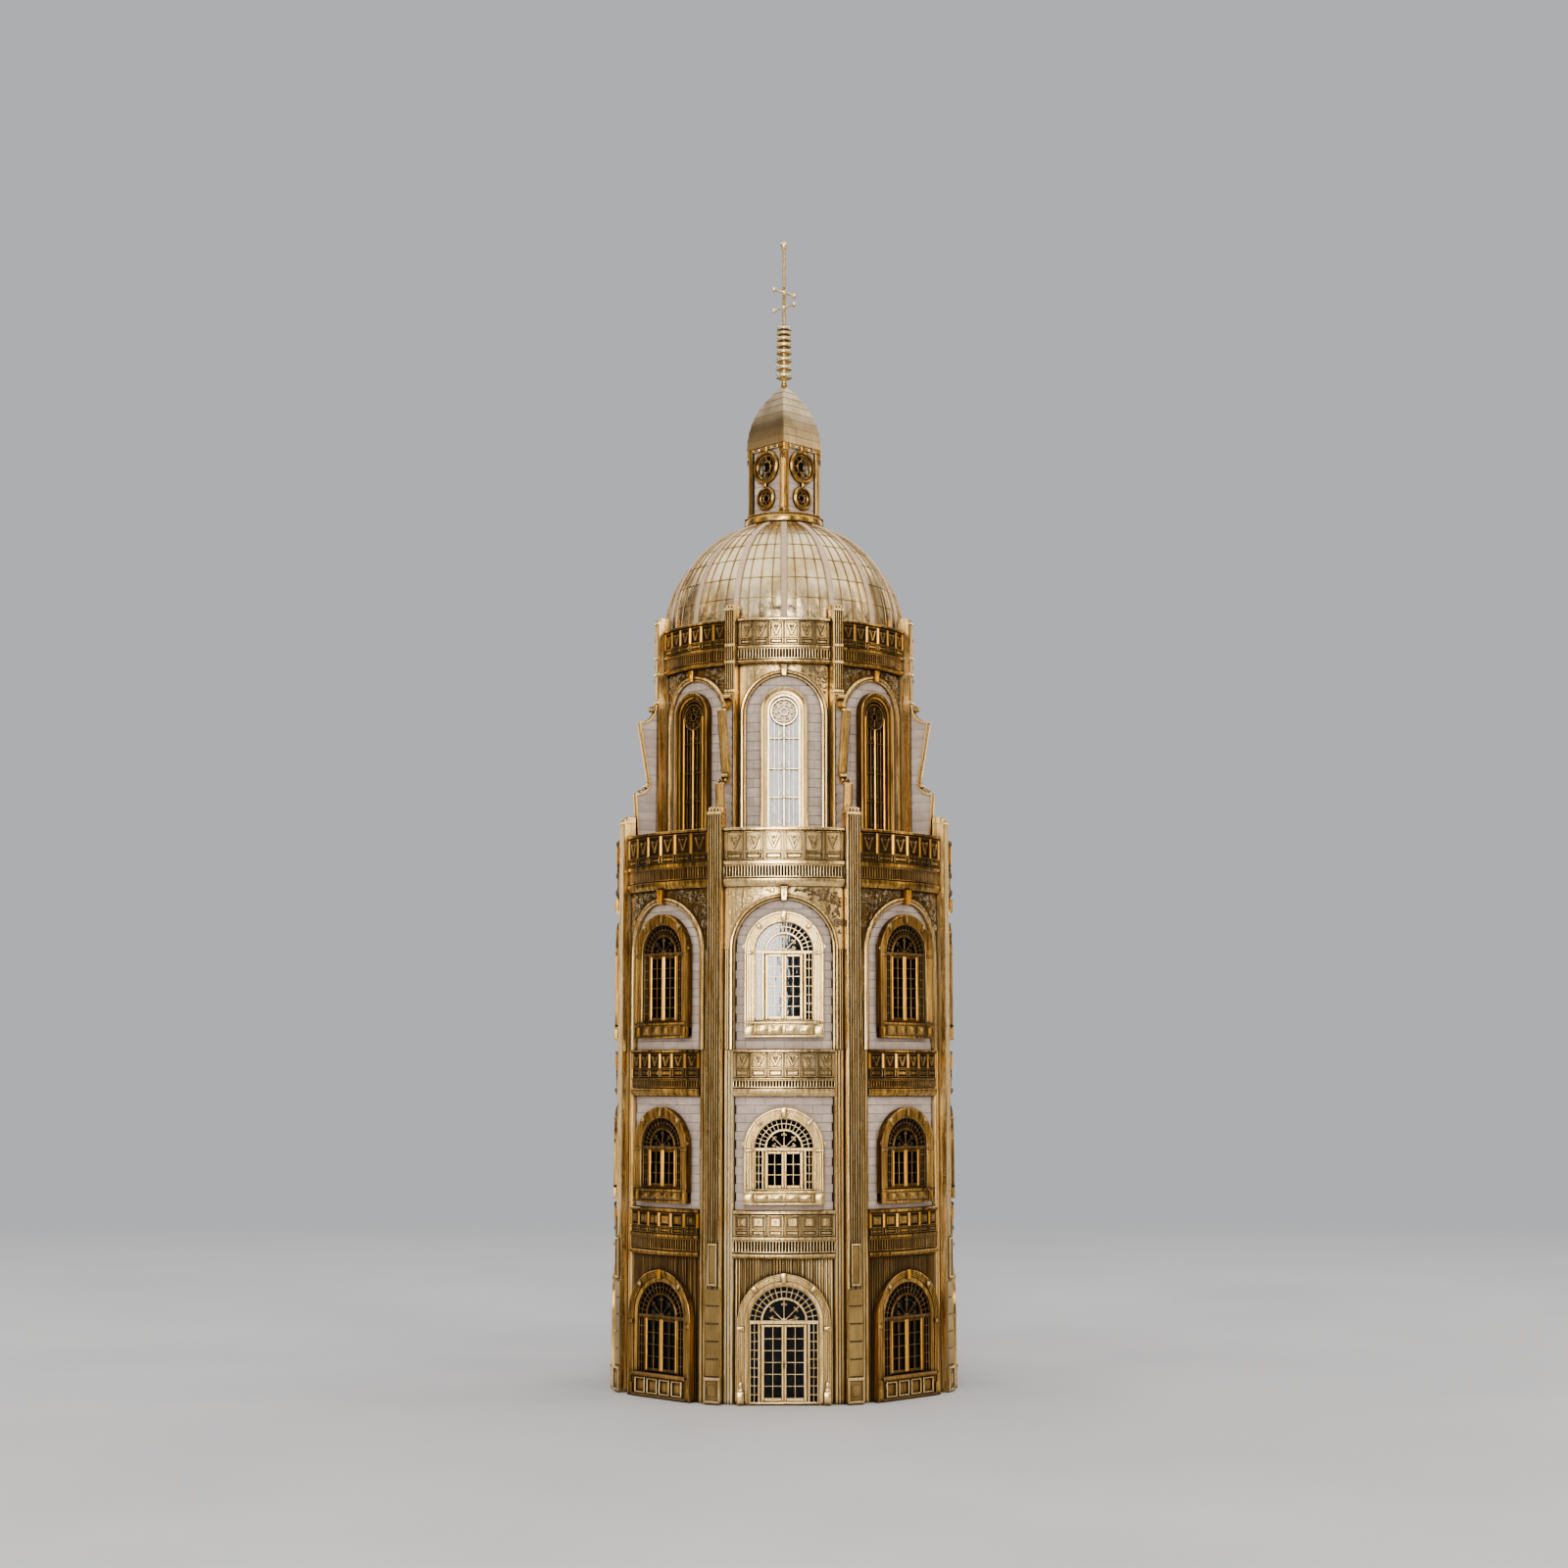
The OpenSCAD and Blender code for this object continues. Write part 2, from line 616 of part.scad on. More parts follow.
module chamber_drum() color(gilt_dark) {
  difference() {
    tube(chamber_r - 2.5, chamber_r, terrace_top, chamber_top);
    bays() chamber_arch(lancet_in + 1, lancet_z + 2, lancet_spring);
  }
  tube(66, chamber_r, chamber_top - hair, collar_top);
}
module lancet_frames() color(gilt_light) bays() {
  difference() {
    arch_block(lancet_out, lancet_z, lancet_spring, 70, 79.6);
    arch_block(lancet_in, lancet_z + 2, lancet_spring, 60, 90);
    core(chamber_face, 500);
    arch_block(lancet_in + 2, lancet_z + 1.2, lancet_spring, 77.8, 90);
  }
  // rose in the head
  translate([0, 0, rose_z]) outward(75.4, 77) difference() {
    circle(8.1);
    circle(6.9);
  }
  for (angle = [0:45:179]) translate([0, -75.4, rose_z]) rotate([0, angle, 0])
    block([0.6, 1.2, 14], 1.2, -7);
  // upright and cross bars
  block([1.2, 1.6, lancet_spring - lancet_z - 9.8], 77, lancet_z + 1.5);
  for (x = [-4.9, 4.9]) translate([x, 0, 0])
    block([0.6, 1.2, lancet_spring - lancet_z - 8], 76.6, lancet_z + 1.5);
  for (z = lancet_bars) block([2 * lancet_in + 0.8, 1.3, 0.7], 76.8, z);
}
module lancet_glass() color(glass) bays()
  arch_block(lancet_in + 0.8, lancet_z + 2.3, lancet_spring, 73.4, 74.4);

// stepped scroll buttress, drawn as radius over height
buttress_z = terrace_top + 0.02;
buttress_back = facing_r + 0.6;
step_z = 352.6;
buttress_top = 408.4;
module buttress2d() polygon(concat(
  [[buttress_back, buttress_z], [95.2, buttress_z], [98.2, step_z]],
  // hollow above the lower step
  [for (a = [0:15:90]) [89.4 + 4.2 * (1 - sin(a)), step_z + 4.8 * (1 - cos(a))]],
  [[88.9, 358.4], [95.9, 396.3]],
  // curve in to the pier
  [for (a = [0:10:90]) [95.0 - 9.4 * sin(a), 406.6 - 10 * cos(a)]],
  [[upier_r - 0.2, buttress_top], [buttress_back, buttress_top]]));
module fin(thickness) {
  rotate([90, 0, -90]) translate([0, 0, -thickness / 2]) linear_extrude(thickness) children();
}
module buttresses() color(stone) corners() difference() {
  fin(4.2) offset(delta = -0.8) buttress2d();
  translate([0, 0, 300]) core(facing_r + 1.4, 130);
  block([upier_w + 0.1, 20, 200], upier_r + hair, 300);
}
module buttress_copings() color(gilt_light) corners() difference() {
  fin(5.6) difference() {
    buttress2d();
    offset(delta = -0.79) buttress2d();
    // open along the foot
    translate([0, buttress_z - 1]) square([93.6, 2.4]);
  }
  translate([0, 0, 300]) core(upier_r + 0.4, 130);
}
module upper_piers() color(gilt) corners() {
  cap_h = 2.6;
  difference() {
    pier(upier_r, upier_w, chamber_r, terrace_top, upier_top - cap_h, 3);
    translate([0, 0, collar_top]) core(dome_clear_r, 60);
  }
  difference() {
    block([upier_w, upier_r - 74, cap_h + hair], upier_r + 0.5, upier_top - cap_h - hair);
    core(dome_clear_r, 500);
  }
}
module upper_parapet() color(gilt) bays() difference() {
  courses([
    [chamber_face, facing_r + 3.6, chamber_top, 428.2],
    [chamber_face, facing_r + 2.6, 428.2 - hair, 435.2],
    [chamber_face, facing_r + 3.4, 435.2 - hair, 437],
    [facing_r + 0.4, facing_r + 2.8, 437 - hair, 451.8],
    [facing_r - 0.6, facing_r + 3.4, 451.8 - hair, 453.4]], upper_half_bay);
  slots(9, upper_half_bay / 4.6, [2, 3.1, 5.6], facing_r + 5, 429);
  slots(6, 2 * upper_half_bay / 6.3, [4, 2.9, 9.6], facing_r + 5, 441.4);
}

// ---------- luna ----------
luna_z = 368;
stem_r = 3;
stem_z = terrace_z + 10;
socket_bore_r = stem_r + 0.05;
socket_r = 6;
socket_top = terrace_z + 30;

module luna_socket() color(gilt) {
  tube(socket_bore_r, socket_r, terrace_z + 7, socket_top);
  // flange over the terrace floor, with a plug down into its hole, hollow below
  translate([0, 0, terrace_z]) difference() {
    cylinder(r = 34, h = 7.01, $fn = 128);
    translate([0, 0, -1]) cylinder(r = 29, h = 5, $fn = 128);
    translate([0, 0, -1]) difference() {
      cylinder(r = 60, h = 5.01, $fn = 128);
      cylinder(r = floor_hole_r - 0.1, h = 6, $fn = 128);
    }
    translate([0, 0, -1]) cylinder(r = socket_bore_r, h = 20);
  }
}
// disc at the luna's centre, running from y towards -Y
module luna_disc(radius, y, depth) {
  translate([0, y, luna_z]) rotate([90, 0, 0]) cylinder(r = radius, h = depth, $fn = 128);
}
module luna_ring() color(gilt_light) difference() {
  union() {
    luna_disc(33.5, 4.8, 9.6);
    translate([0, 0, stem_z]) cylinder(r = stem_r, h = luna_z - 32 - stem_z, $fn = 48);
    translate([0, 0, socket_top + 0.02]) cylinder(r = socket_r, h = 2, $fn = 48);
  }
  luna_disc(29, 10, 20);
  // a rebate in each face, open outwards, seats a lens
  for (y = [-3.4, 5.8]) luna_disc(30.5, y, 2.4);
}
module luna_lenses() color(glass) for (y = [-3.45, 4.45]) luna_disc(30.45, y, 1);

// ---------- dome ----------
lantern_base_r = 25.6;

module dome_ball(radius) translate([0, 0, dome_z]) sphere(r = radius, $fn = 128);
module dome_shell() color(gilt_light) {
  difference() {
    dome_ball(dome_r);
    dome_ball(dome_r - 2);
    translate([0, 0, dome_z - 100]) cylinder(r = 100, h = 100);
    translate([0, 0, dome_z]) cylinder(r = 17, h = 100);
  }
  tube(dome_r - 3, dome_r, collar_top + 0.05, dome_z + 0.2);
}
module dome_ribs() color(stone) for (i = [0:ribs - 1]) rotate([0, 0, i * 360 / ribs])
  intersection() {
    difference() {
      dome_ball(dome_r + rib_h);
      dome_ball(dome_r + hair);
      translate([0, 0, dome_z]) cylinder(r = lantern_base_r + 0.05, h = 100);
    }
    block([3.4, dome_r, 90], dome_r + 5, dome_z + 0.6);
  }

// ---------- lantern ----------
lantern_z = 531.2;
lantern_top = 576;
lantern_h = lantern_top - lantern_z;
lantern_half = lantern_a / 2;
corner_w = 4.8;
// round openings, one above the other: height, ring's outer radius, ring's inner radius
oculi = [[562.4, 10.8, 7], [542.4, 7.6, 4.4]];

module lantern_base() color(gilt) difference() {
  union() {
    translate([0, 0, 519]) cylinder(r = lantern_base_r, h = 5.4, $fn = 128);
    translate([0, 0, 524.3]) cylinder(r = 23.6, h = 4, $fn = 128);
    translate([0, 0, 528.2]) cylinder(r = 24.6, h = 3, $fn = 128);
  }
  dome_ball(dome_r + 0.02);
  translate([0, 0, 500]) cylinder(r = 13, h = 50);
}
// square box on the lantern's plan, set in from its sides
module lantern_block(inset, z, height) {
  side = lantern_a - 2 * inset;
  block([side, side, height], lantern_half - inset, z);
}
module corner_posts(width, z, height) quarters()
  translate([-lantern_half, -lantern_half, z]) cube([width, width, height]);
module lantern_body() color(stone) rotate([0, 0, 45]) difference() {
  lantern_block(1.4, lantern_z, lantern_h);
  lantern_block(3, lantern_z - 1, lantern_h - 1);
  quarters() for (o = oculi) translate([0, 0, o[0]]) outward(0, 40) circle(o[2] + 0.2);
  corner_posts(corner_w, lantern_z - 1, 60);
}
module oculus(outer, inner) {
  difference() {
    outward(lantern_half - 1.39, lantern_half + 1) circle(outer);
    outward(0, 40) circle(inner);
  }
  // hub and spokes
  difference() {
    outward(lantern_half - 1.6, lantern_half - 0.4) circle(inner * 0.62);
    outward(0, 40) circle(inner * 0.44);
  }
  for (angle = [0:45:359]) rotate([0, angle, 0])
    block([0.7, 1.09, inner * 0.5], lantern_half - 0.3, inner * 0.55);
}
module oculus_rings() color(gilt) rotate([0, 0, 45]) quarters()
  for (o = oculi) translate([0, 0, o[0]]) oculus(o[1], o[2]);

// the cupola's hips are arcs; its half width follows from them at height z
hip_arc_r = 49.2 * cupola_h / 42;
hip_arc_x = hip_arc_r - lantern_a / sqrt(2) - 0.26;
cupola_steps = 22;
function cupola_half(z) =
  max(0.8, (sqrt(max(0, hip_arc_r * hip_arc_r - z * z)) - hip_arc_x) / sqrt(2));
function cupola_step(k) = cupola_h * k / cupola_steps;
module cupola2d() polygon(concat(
  [for (k = [0:cupola_steps]) [cupola_half(cupola_step(k)), cupola_step(k)]],
  [for (k = [cupola_steps:-1:0]) [-cupola_half(cupola_step(k)), cupola_step(k)]]));
module cupola_roof() color(gilt_light) rotate([0, 0, 45]) {
  difference() {
    translate([0, 0, lantern_top]) intersection() {
      outward(-40, 40) cupola2d();
      rotate([0, 0, 90]) outward(-40, 40) cupola2d();
    }
    cylinder(r = 1.6, h = 700, $fn = 32);
    lantern_block(4, lantern_top - 1, 16);
  }
  corner_posts(corner_w - hair, lantern_z, lantern_h);
}

// ---------- finial ----------
finial_z = lantern_top + cupola_h;
rod_z = finial_z + 20.1;
ring_pitch = 31.2 / (rings - 1);
bead_r = 0.7;                 // rounded edge of a ring
arm = 9;                      // half length of a cross bar
arms = [[669.7, 45], [679.5, -45]];   // cross bars: height, turn

function ring_r(k) = 5 - 1.1 * k / max(1, rings - 1);
module finial_spindle() color(gilt_light) difference() {
  union() {
    translate([0, 0, finial_z - 8]) cylinder(r = 1.55, h = 12, $fn = 32);
    translate([0, 0, finial_z + 0.4]) cylinder(r = 2, h = 38.6, $fn = 48);
    translate([0, 0, finial_z + 3]) cylinder(r1 = 1.7, r2 = 3.4, h = 3, $fn = 48);
    for (k = [0:rings - 1]) translate([0, 0, finial_z + 6.4 + k * ring_pitch])
      rotate_extrude($fn = 64) union() {
        translate([0, -bead_r]) square([ring_r(k) - bead_r, 2 * bead_r]);
        translate([ring_r(k) - bead_r, 0]) circle(bead_r, $fn = 24);
      }
  }
  translate([0, 0, finial_z + 20]) cylinder(r = rod_r + 0.02, h = 30, $fn = 32);
}
module finial_rod() color(gilt_light) {
  translate([0, 0, rod_z]) cylinder(r = rod_r, h = ball_z - rod_z, $fn = 32);
  translate([0, 0, ball_z]) sphere(r = 2.5, $fn = 48);
  for (bar = arms) translate([0, 0, bar[0]]) rotate([0, 0, bar[1]]) {
    translate([-arm, 0, 0]) rotate([0, 90, 0]) cylinder(r = 0.6, h = 2 * arm, $fn = 24);
    for (side = [-1, 1]) translate([side * arm, 0, 0]) sphere(r = 1.6, $fn = 32);
  }
}

base_plate();
felt_pad();
base_screws();
core_tube();
ground_drum();
ground_arches();
ground_windows();
ground_glass();
ground_sills();
door_frame();
door_frame_glass();
door_leaf_left();
door_leaf_right();
door_glass_left();
door_glass_right();
door_knobs_left();
door_knobs_right();
hinge_pins();
floor_one();
band_one();
lower_piers();
pier_blocks();
gilt_strips();
second_drum();
second_stone();
second_windows();
second_glass();
casement_two_left();
casement_two_right();
floor_two();
band_two();
third_drum();
third_stone();
third_arches();
third_windows();
third_glass();
casement_three_left();
casement_three_right();
terrace_floor();
lower_parapet();
chamber_drum();
chamber_stone();
chamber_arches();
lancet_frames();
lancet_glass();
buttresses();
buttress_copings();
upper_piers();
upper_parapet();
luna_socket();
luna_ring();
luna_lenses();
dome_shell();
dome_ribs();
lantern_base();
lantern_body();
oculus_rings();
cupola_roof();
finial_spindle();
finial_rod();
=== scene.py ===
import bpy, bmesh, math
import numpy as np
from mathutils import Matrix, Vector
from math import sin, cos, pi, radians, sqrt, asin, atan2


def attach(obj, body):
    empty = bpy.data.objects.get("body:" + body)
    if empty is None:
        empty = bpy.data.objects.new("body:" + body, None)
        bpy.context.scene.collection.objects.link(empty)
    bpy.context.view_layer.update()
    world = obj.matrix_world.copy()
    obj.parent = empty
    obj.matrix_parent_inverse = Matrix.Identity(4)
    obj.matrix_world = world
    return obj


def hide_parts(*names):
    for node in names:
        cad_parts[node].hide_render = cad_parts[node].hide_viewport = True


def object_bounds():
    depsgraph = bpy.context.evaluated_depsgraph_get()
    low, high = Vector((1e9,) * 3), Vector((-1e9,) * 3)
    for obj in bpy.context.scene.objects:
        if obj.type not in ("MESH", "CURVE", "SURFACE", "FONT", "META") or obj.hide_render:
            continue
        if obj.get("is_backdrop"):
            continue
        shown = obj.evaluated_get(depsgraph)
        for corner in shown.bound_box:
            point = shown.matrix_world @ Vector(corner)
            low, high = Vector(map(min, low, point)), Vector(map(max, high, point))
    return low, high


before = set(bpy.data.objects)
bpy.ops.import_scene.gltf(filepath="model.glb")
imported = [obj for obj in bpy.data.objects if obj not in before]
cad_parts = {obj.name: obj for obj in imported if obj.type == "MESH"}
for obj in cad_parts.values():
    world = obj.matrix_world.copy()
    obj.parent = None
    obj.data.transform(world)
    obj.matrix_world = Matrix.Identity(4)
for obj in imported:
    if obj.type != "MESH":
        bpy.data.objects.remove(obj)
cad_lo, cad_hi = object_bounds()

# ------------------------------------------------------------------ geometry kit
# "Bay coordinates" are (x sideways, y outward radius, z up) in millimetres, facing the front (-Y).


class Geo:
    def __init__(s):
        s.v, s.f, s.n = [], [], 0

    def add(s, verts, faces):
        verts = np.asarray(verts, float).reshape(-1, 3)
        n = s.n
        s.v.append(verts)
        s.f.extend([tuple(i + n for i in f) for f in faces])
        s.n += len(verts)
        return s

    def join(s, o):
        if o.n:
            s.add(np.vstack(o.v), o.f)
        return s

    def pts(s):
        return np.vstack(s.v) if s.v else np.zeros((0, 3))

    def map(s, fn):
        g = Geo()
        if s.n:
            g.add(fn(s.pts()), s.f)
        return g


def flat(g):
    return g.map(lambda p: np.stack([p[:, 0], -p[:, 1], p[:, 2]], 1))


def bent(g, R):
    return g.map(lambda p: np.stack([p[:, 1] * np.sin(p[:, 0] / R), -p[:, 1] * np.cos(p[:, 0] / R), p[:, 2]], 1))


def turn(g, deg):
    a = radians(deg)
    return g.map(lambda p: np.stack([p[:, 0] * cos(a) - p[:, 1] * sin(a), p[:, 0] * sin(a) + p[:, 1] * cos(a), p[:, 2]], 1))


def ring(g, angles):
    out = Geo()
    for a in angles:
        out.join(turn(g, a))
    return out


BAYS = [45 * i for i in range(8)]
SIDE_BAYS = [45 * i for i in range(1, 8)]
CORNERS = [22.5 + 45 * i for i in range(8)]


def loft(rings, closed_ring=True, caps=True, wrap=False):
    """Quads between equal-length rings of points."""
    g = Geo()
    m = len(rings[0])
    verts = np.vstack([np.asarray(r, float) for r in rings])
    faces = []
    n = len(rings)
    last = n if wrap else n - 1
    for i in range(last):
        j = (i + 1) % n
        for k in range(m if closed_ring else m - 1):
            l = (k + 1) % m
            faces.append((i * m + k, i * m + l, j * m + l, j * m + k))
    if caps and not wrap and closed_ring:
        faces.append(tuple(range(m)))
        faces.append(tuple((n - 1) * m + k for k in range(m)))
    g.add(verts, faces)
    return g


def block(x0, x1, z0, z1, y0, y1, c=0.25):
    """A box whose front edges are chamfered."""
    c = min(c, (x1 - x0) * 0.3, (z1 - z0) * 0.3, abs(y1 - y0) * 0.6)
    back = [(x0, y0, z0), (x1, y0, z0), (x1, y0, z1), (x0, y0, z1)]
    mid = [(x, y1 - c, z) for x, y, z in back]
    front = [(x0 + c, y1, z0 + c), (x1 - c, y1, z0 + c), (x1 - c, y1, z1 - c), (x0 + c, y1, z1 - c)]
    return loft([back, mid, front])


def wide_block(x0, x1, z0, z1, y0, y1, c=0.25, step=2.5):
    """A chamfered box cut into short lengths sideways, so that it can be bent round the drum."""
    n = max(1, int(math.ceil((x1 - x0) / step)))
    xs = [x0 + (x1 - x0) * i / n for i in range(n + 1)]
    c = min(c, (z1 - z0) * 0.3, abs(y1 - y0) * 0.6)
    sec = lambda x, s: [(x, y0, z0), (x, y1 - c * s, z0), (x, y1, z0 + c), (x, y1, z1 - c), (x, y1 - c * s, z1), (x, y0, z1)]
    return loft([sec(x, 1) for x in xs])


def bar(x0, z0, x1, z1, w, y0, y1):
    """A glazing bar between two points, with a chamfered front."""
    d = np.array([x1 - x0, z1 - z0], float)
    L = np.hypot(*d)
    if L < 1e-6:
        return Geo()
    nx, nz = -d[1] / L * w / 2, d[0] / L * w / 2
    sec = []
    for s, y in ((-1, y0), (-1, y1 - w * 0.35), (-0.45, y1), (0.45, y1), (1, y1 - w * 0.35), (1, y0)):
        sec.append((s * nx, y, s * nz))
    return loft([[(x + a, y, z + b) for a, y, b in sec] for x, z in ((x0, z0), (x1, z1))])


def arch_path(w, zb, zs, seg=28):
    """Up the right jamb, over the arch and down the left one: (x, z, normal x, normal z)."""
    p = [(w, zb, 1, 0)]
    for i in range(seg + 1):
        a = pi * i / seg
        p.append((w * cos(a), zs + w * sin(a), cos(a), sin(a)))
    p.append((-w, zb, -1, 0))
    return p


def sweep(path, prof):
    """prof is a closed list of (offset along the normal, y)."""
    return loft([[(x + n * nx, y, z + n * nz) for n, y in prof] for x, z, nx, nz in path])


def arc_bar(cz, r, a0, a1, w, y0, y1, seg=24):
    path = []
    for i in range(seg + 1):
        a = radians(a0 + (a1 - a0) * i / seg)
        path.append((r * cos(a), cz + r * sin(a), cos(a), sin(a)))
    h = w / 2
    return sweep(path, [(-h, y0), (-h, y1 - w * 0.35), (-h * 0.45, y1), (h * 0.45, y1), (h, y1 - w * 0.35), (h, y0)])


def course(prof, hx, step=2.2, x0=None):
    """A moulding: closed (y, z) profile run sideways from -hx to hx."""
    a = -hx if x0 is None else x0
    n = max(2, int((hx - a) / step))
    return loft([[(a + (hx - a) * i / n, y, z) for y, z in prof] for i in range(n + 1)])


def tube(points, rad, sides=6):
    """A round rod along 3-D points; rad is a number or a list."""
    P = np.asarray(points, float)
    n = len(P)
    T = np.gradient(P, axis=0)
    T /= np.maximum(np.linalg.norm(T, axis=1)[:, None], 1e-9)
    up = np.array([0.0, 1.0, 0.0])
    if abs(T[0] @ up) > 0.9:
        up = np.array([1.0, 0, 0])
    rings = []
    for i in range(n):
        a = np.cross(T[i], up)
        a /= max(np.linalg.norm(a), 1e-9)
        b = np.cross(T[i], a)
        up = -np.cross(T[i], a) if abs(T[i] @ b) < 0.9 else up
        r = rad[i] if hasattr(rad, "__len__") else rad
        rings.append([P[i] + r * (cos(2 * pi * k / sides) * a + sin(2 * pi * k / sides) * b) for k in range(sides)])
    return loft(rings)


def lathe(prof, seg=64, cx=0, cy=0):
    """Closed (r, z) profile turned round a vertical axis; already in world axes."""
    rings = [[(cx + r * cos(2 * pi * i / seg), cy + r * sin(2 * pi * i / seg), z) for r, z in prof] for i in range(seg)]
    return loft(rings, wrap=True)


def solid_lathe(prof, seg=64):
    """(r, z) from bottom to top, closed by flat caps."""
    return loft([[(max(r, 1e-3) * cos(2 * pi * i / seg), max(r, 1e-3) * sin(2 * pi * i / seg), z) for i in range(seg)] for r, z in prof])


def ball(c, r, seg=14, sy=1.0, sz=1.0, sx=1.0):
    rows = seg // 2
    rings = []
    for i in range(1, rows):
        a = -pi / 2 + pi * i / rows
        rings.append([(c[0] + sx * r * cos(a) * cos(2 * pi * k / seg), c[1] + sy * r * cos(a) * sin(2 * pi * k / seg), c[2] + sz * r * sin(a)) for k in range(seg)])
    return loft(rings)


def disc_rosette(cx, cz, r, y, petals=6):
    g = ball((cx, y, cz), r * 0.32, 10)
    for k in range(petals):
        a = 2 * pi * k / petals
        g.join(ball((cx + r * 0.6 * cos(a), y, cz + r * 0.6 * sin(a)), r * 0.3, 8, sy=0.6))
    return g


def curl(cx, cz, r, a0, turns, y, rad, hand=1, n=22):
    """A flat spiral scroll that winds in to (cx, cz)."""
    pts, rr = [], []
    for i in range(n + 1):
        t = i / n
        a = a0 + hand * 2 * pi * turns * t
        q = r * (1 - 0.82 * t)
        pts.append((cx + q * cos(a), y, cz + q * sin(a)))
        rr.append(rad * (1 - 0.45 * t))
    g = tube(pts, rr, 6)
    g.join(ball(pts[-1], rad * 1.25, 8))
    return g


def leaf(cx, cz, ang, L, W, y, h=0.5):
    """A ribbed, pointed leaf."""
    d, p = (cos(ang), sin(ang)), (-sin(ang), cos(ang))
    rows = []
    for i in range(7):
        t = i / 6
        w = W * (sin(pi * min(1, t * 0.92 + 0.08)) ** 0.8) * (1 - 0.25 * t) * (1 + 0.18 * cos(t * 9))
        w = max(w, 0.04)
        bx, bz = cx + d[0] * L * t, cz + d[1] * L * t
        lift = h * sin(pi * (0.1 + 0.85 * t))
        rows.append([(bx - p[0] * w, y, bz - p[1] * w), (bx - p[0] * w * 0.5, y + lift * 0.9, bz - p[1] * w * 0.5), (bx, y + lift * 0.55, bz),
                     (bx + p[0] * w * 0.5, y + lift * 0.9, bz + p[1] * w * 0.5), (bx + p[0] * w, y, bz + p[1] * w), (bx, y - 0.3, bz)])
    return loft(rows)


# ------------------------------------------------------------------ materials


def nodes_of(m):
    m.use_nodes = True
    nt = m.node_tree
    nt.nodes.clear()
    return nt


def noise(nt, vec, scale, detail=4, rough=0.55):
    n = nt.nodes.new("ShaderNodeTexNoise")
    n.inputs["Scale"].default_value = scale
    n.inputs["Detail"].default_value = detail
    n.inputs["Roughness"].default_value = rough
    nt.links.new(vec, n.inputs["Vector"])
    return n.outputs["Fac"]


def math_(nt, op, a, b=None, clamp=False):
    n = nt.nodes.new("ShaderNodeMath")
    n.operation = op
    n.use_clamp = clamp
    for i, x in enumerate((a, b)):
        if x is None:
            continue
        if isinstance(x, (int, float)):
            n.inputs[i].default_value = x
        else:
            nt.links.new(x, n.inputs[i])
    return n.outputs[0]


def ramp(nt, fac, stops):
    n = nt.nodes.new("ShaderNodeValToRGB")
    while len(n.color_ramp.elements) < len(stops):
        n.color_ramp.elements.new(0.5)
    for e_, (p, c) in zip(n.color_ramp.elements, stops):
        e_.position = p
        e_.color = (*c, 1)
    nt.links.new(fac, n.inputs[0])
    return n.outputs["Color"]


def mix(nt, fac, a, b, kind="MIX"):
    n = nt.nodes.new("ShaderNodeMix")
    n.data_type = "RGBA"
    n.blend_type = kind
    for sock, x in ((n.inputs[0], fac), (n.inputs[6], a), (n.inputs[7], b)):
        if isinstance(x, (int, float)):
            sock.default_value = x
        elif isinstance(x, tuple):
            sock.default_value = (*x, 1)
        else:
            nt.links.new(x, sock)
    return n.outputs[2]


def stretched(nt, sx, sy, sz):
    tc = nt.nodes.new("ShaderNodeTexCoord")
    mp = nt.nodes.new("ShaderNodeMapping")
    mp.inputs["Scale"].default_value = (sx, sy, sz)
    nt.links.new(tc.outputs["Object"], mp.inputs["Vector"])
    return mp.outputs["Vector"]


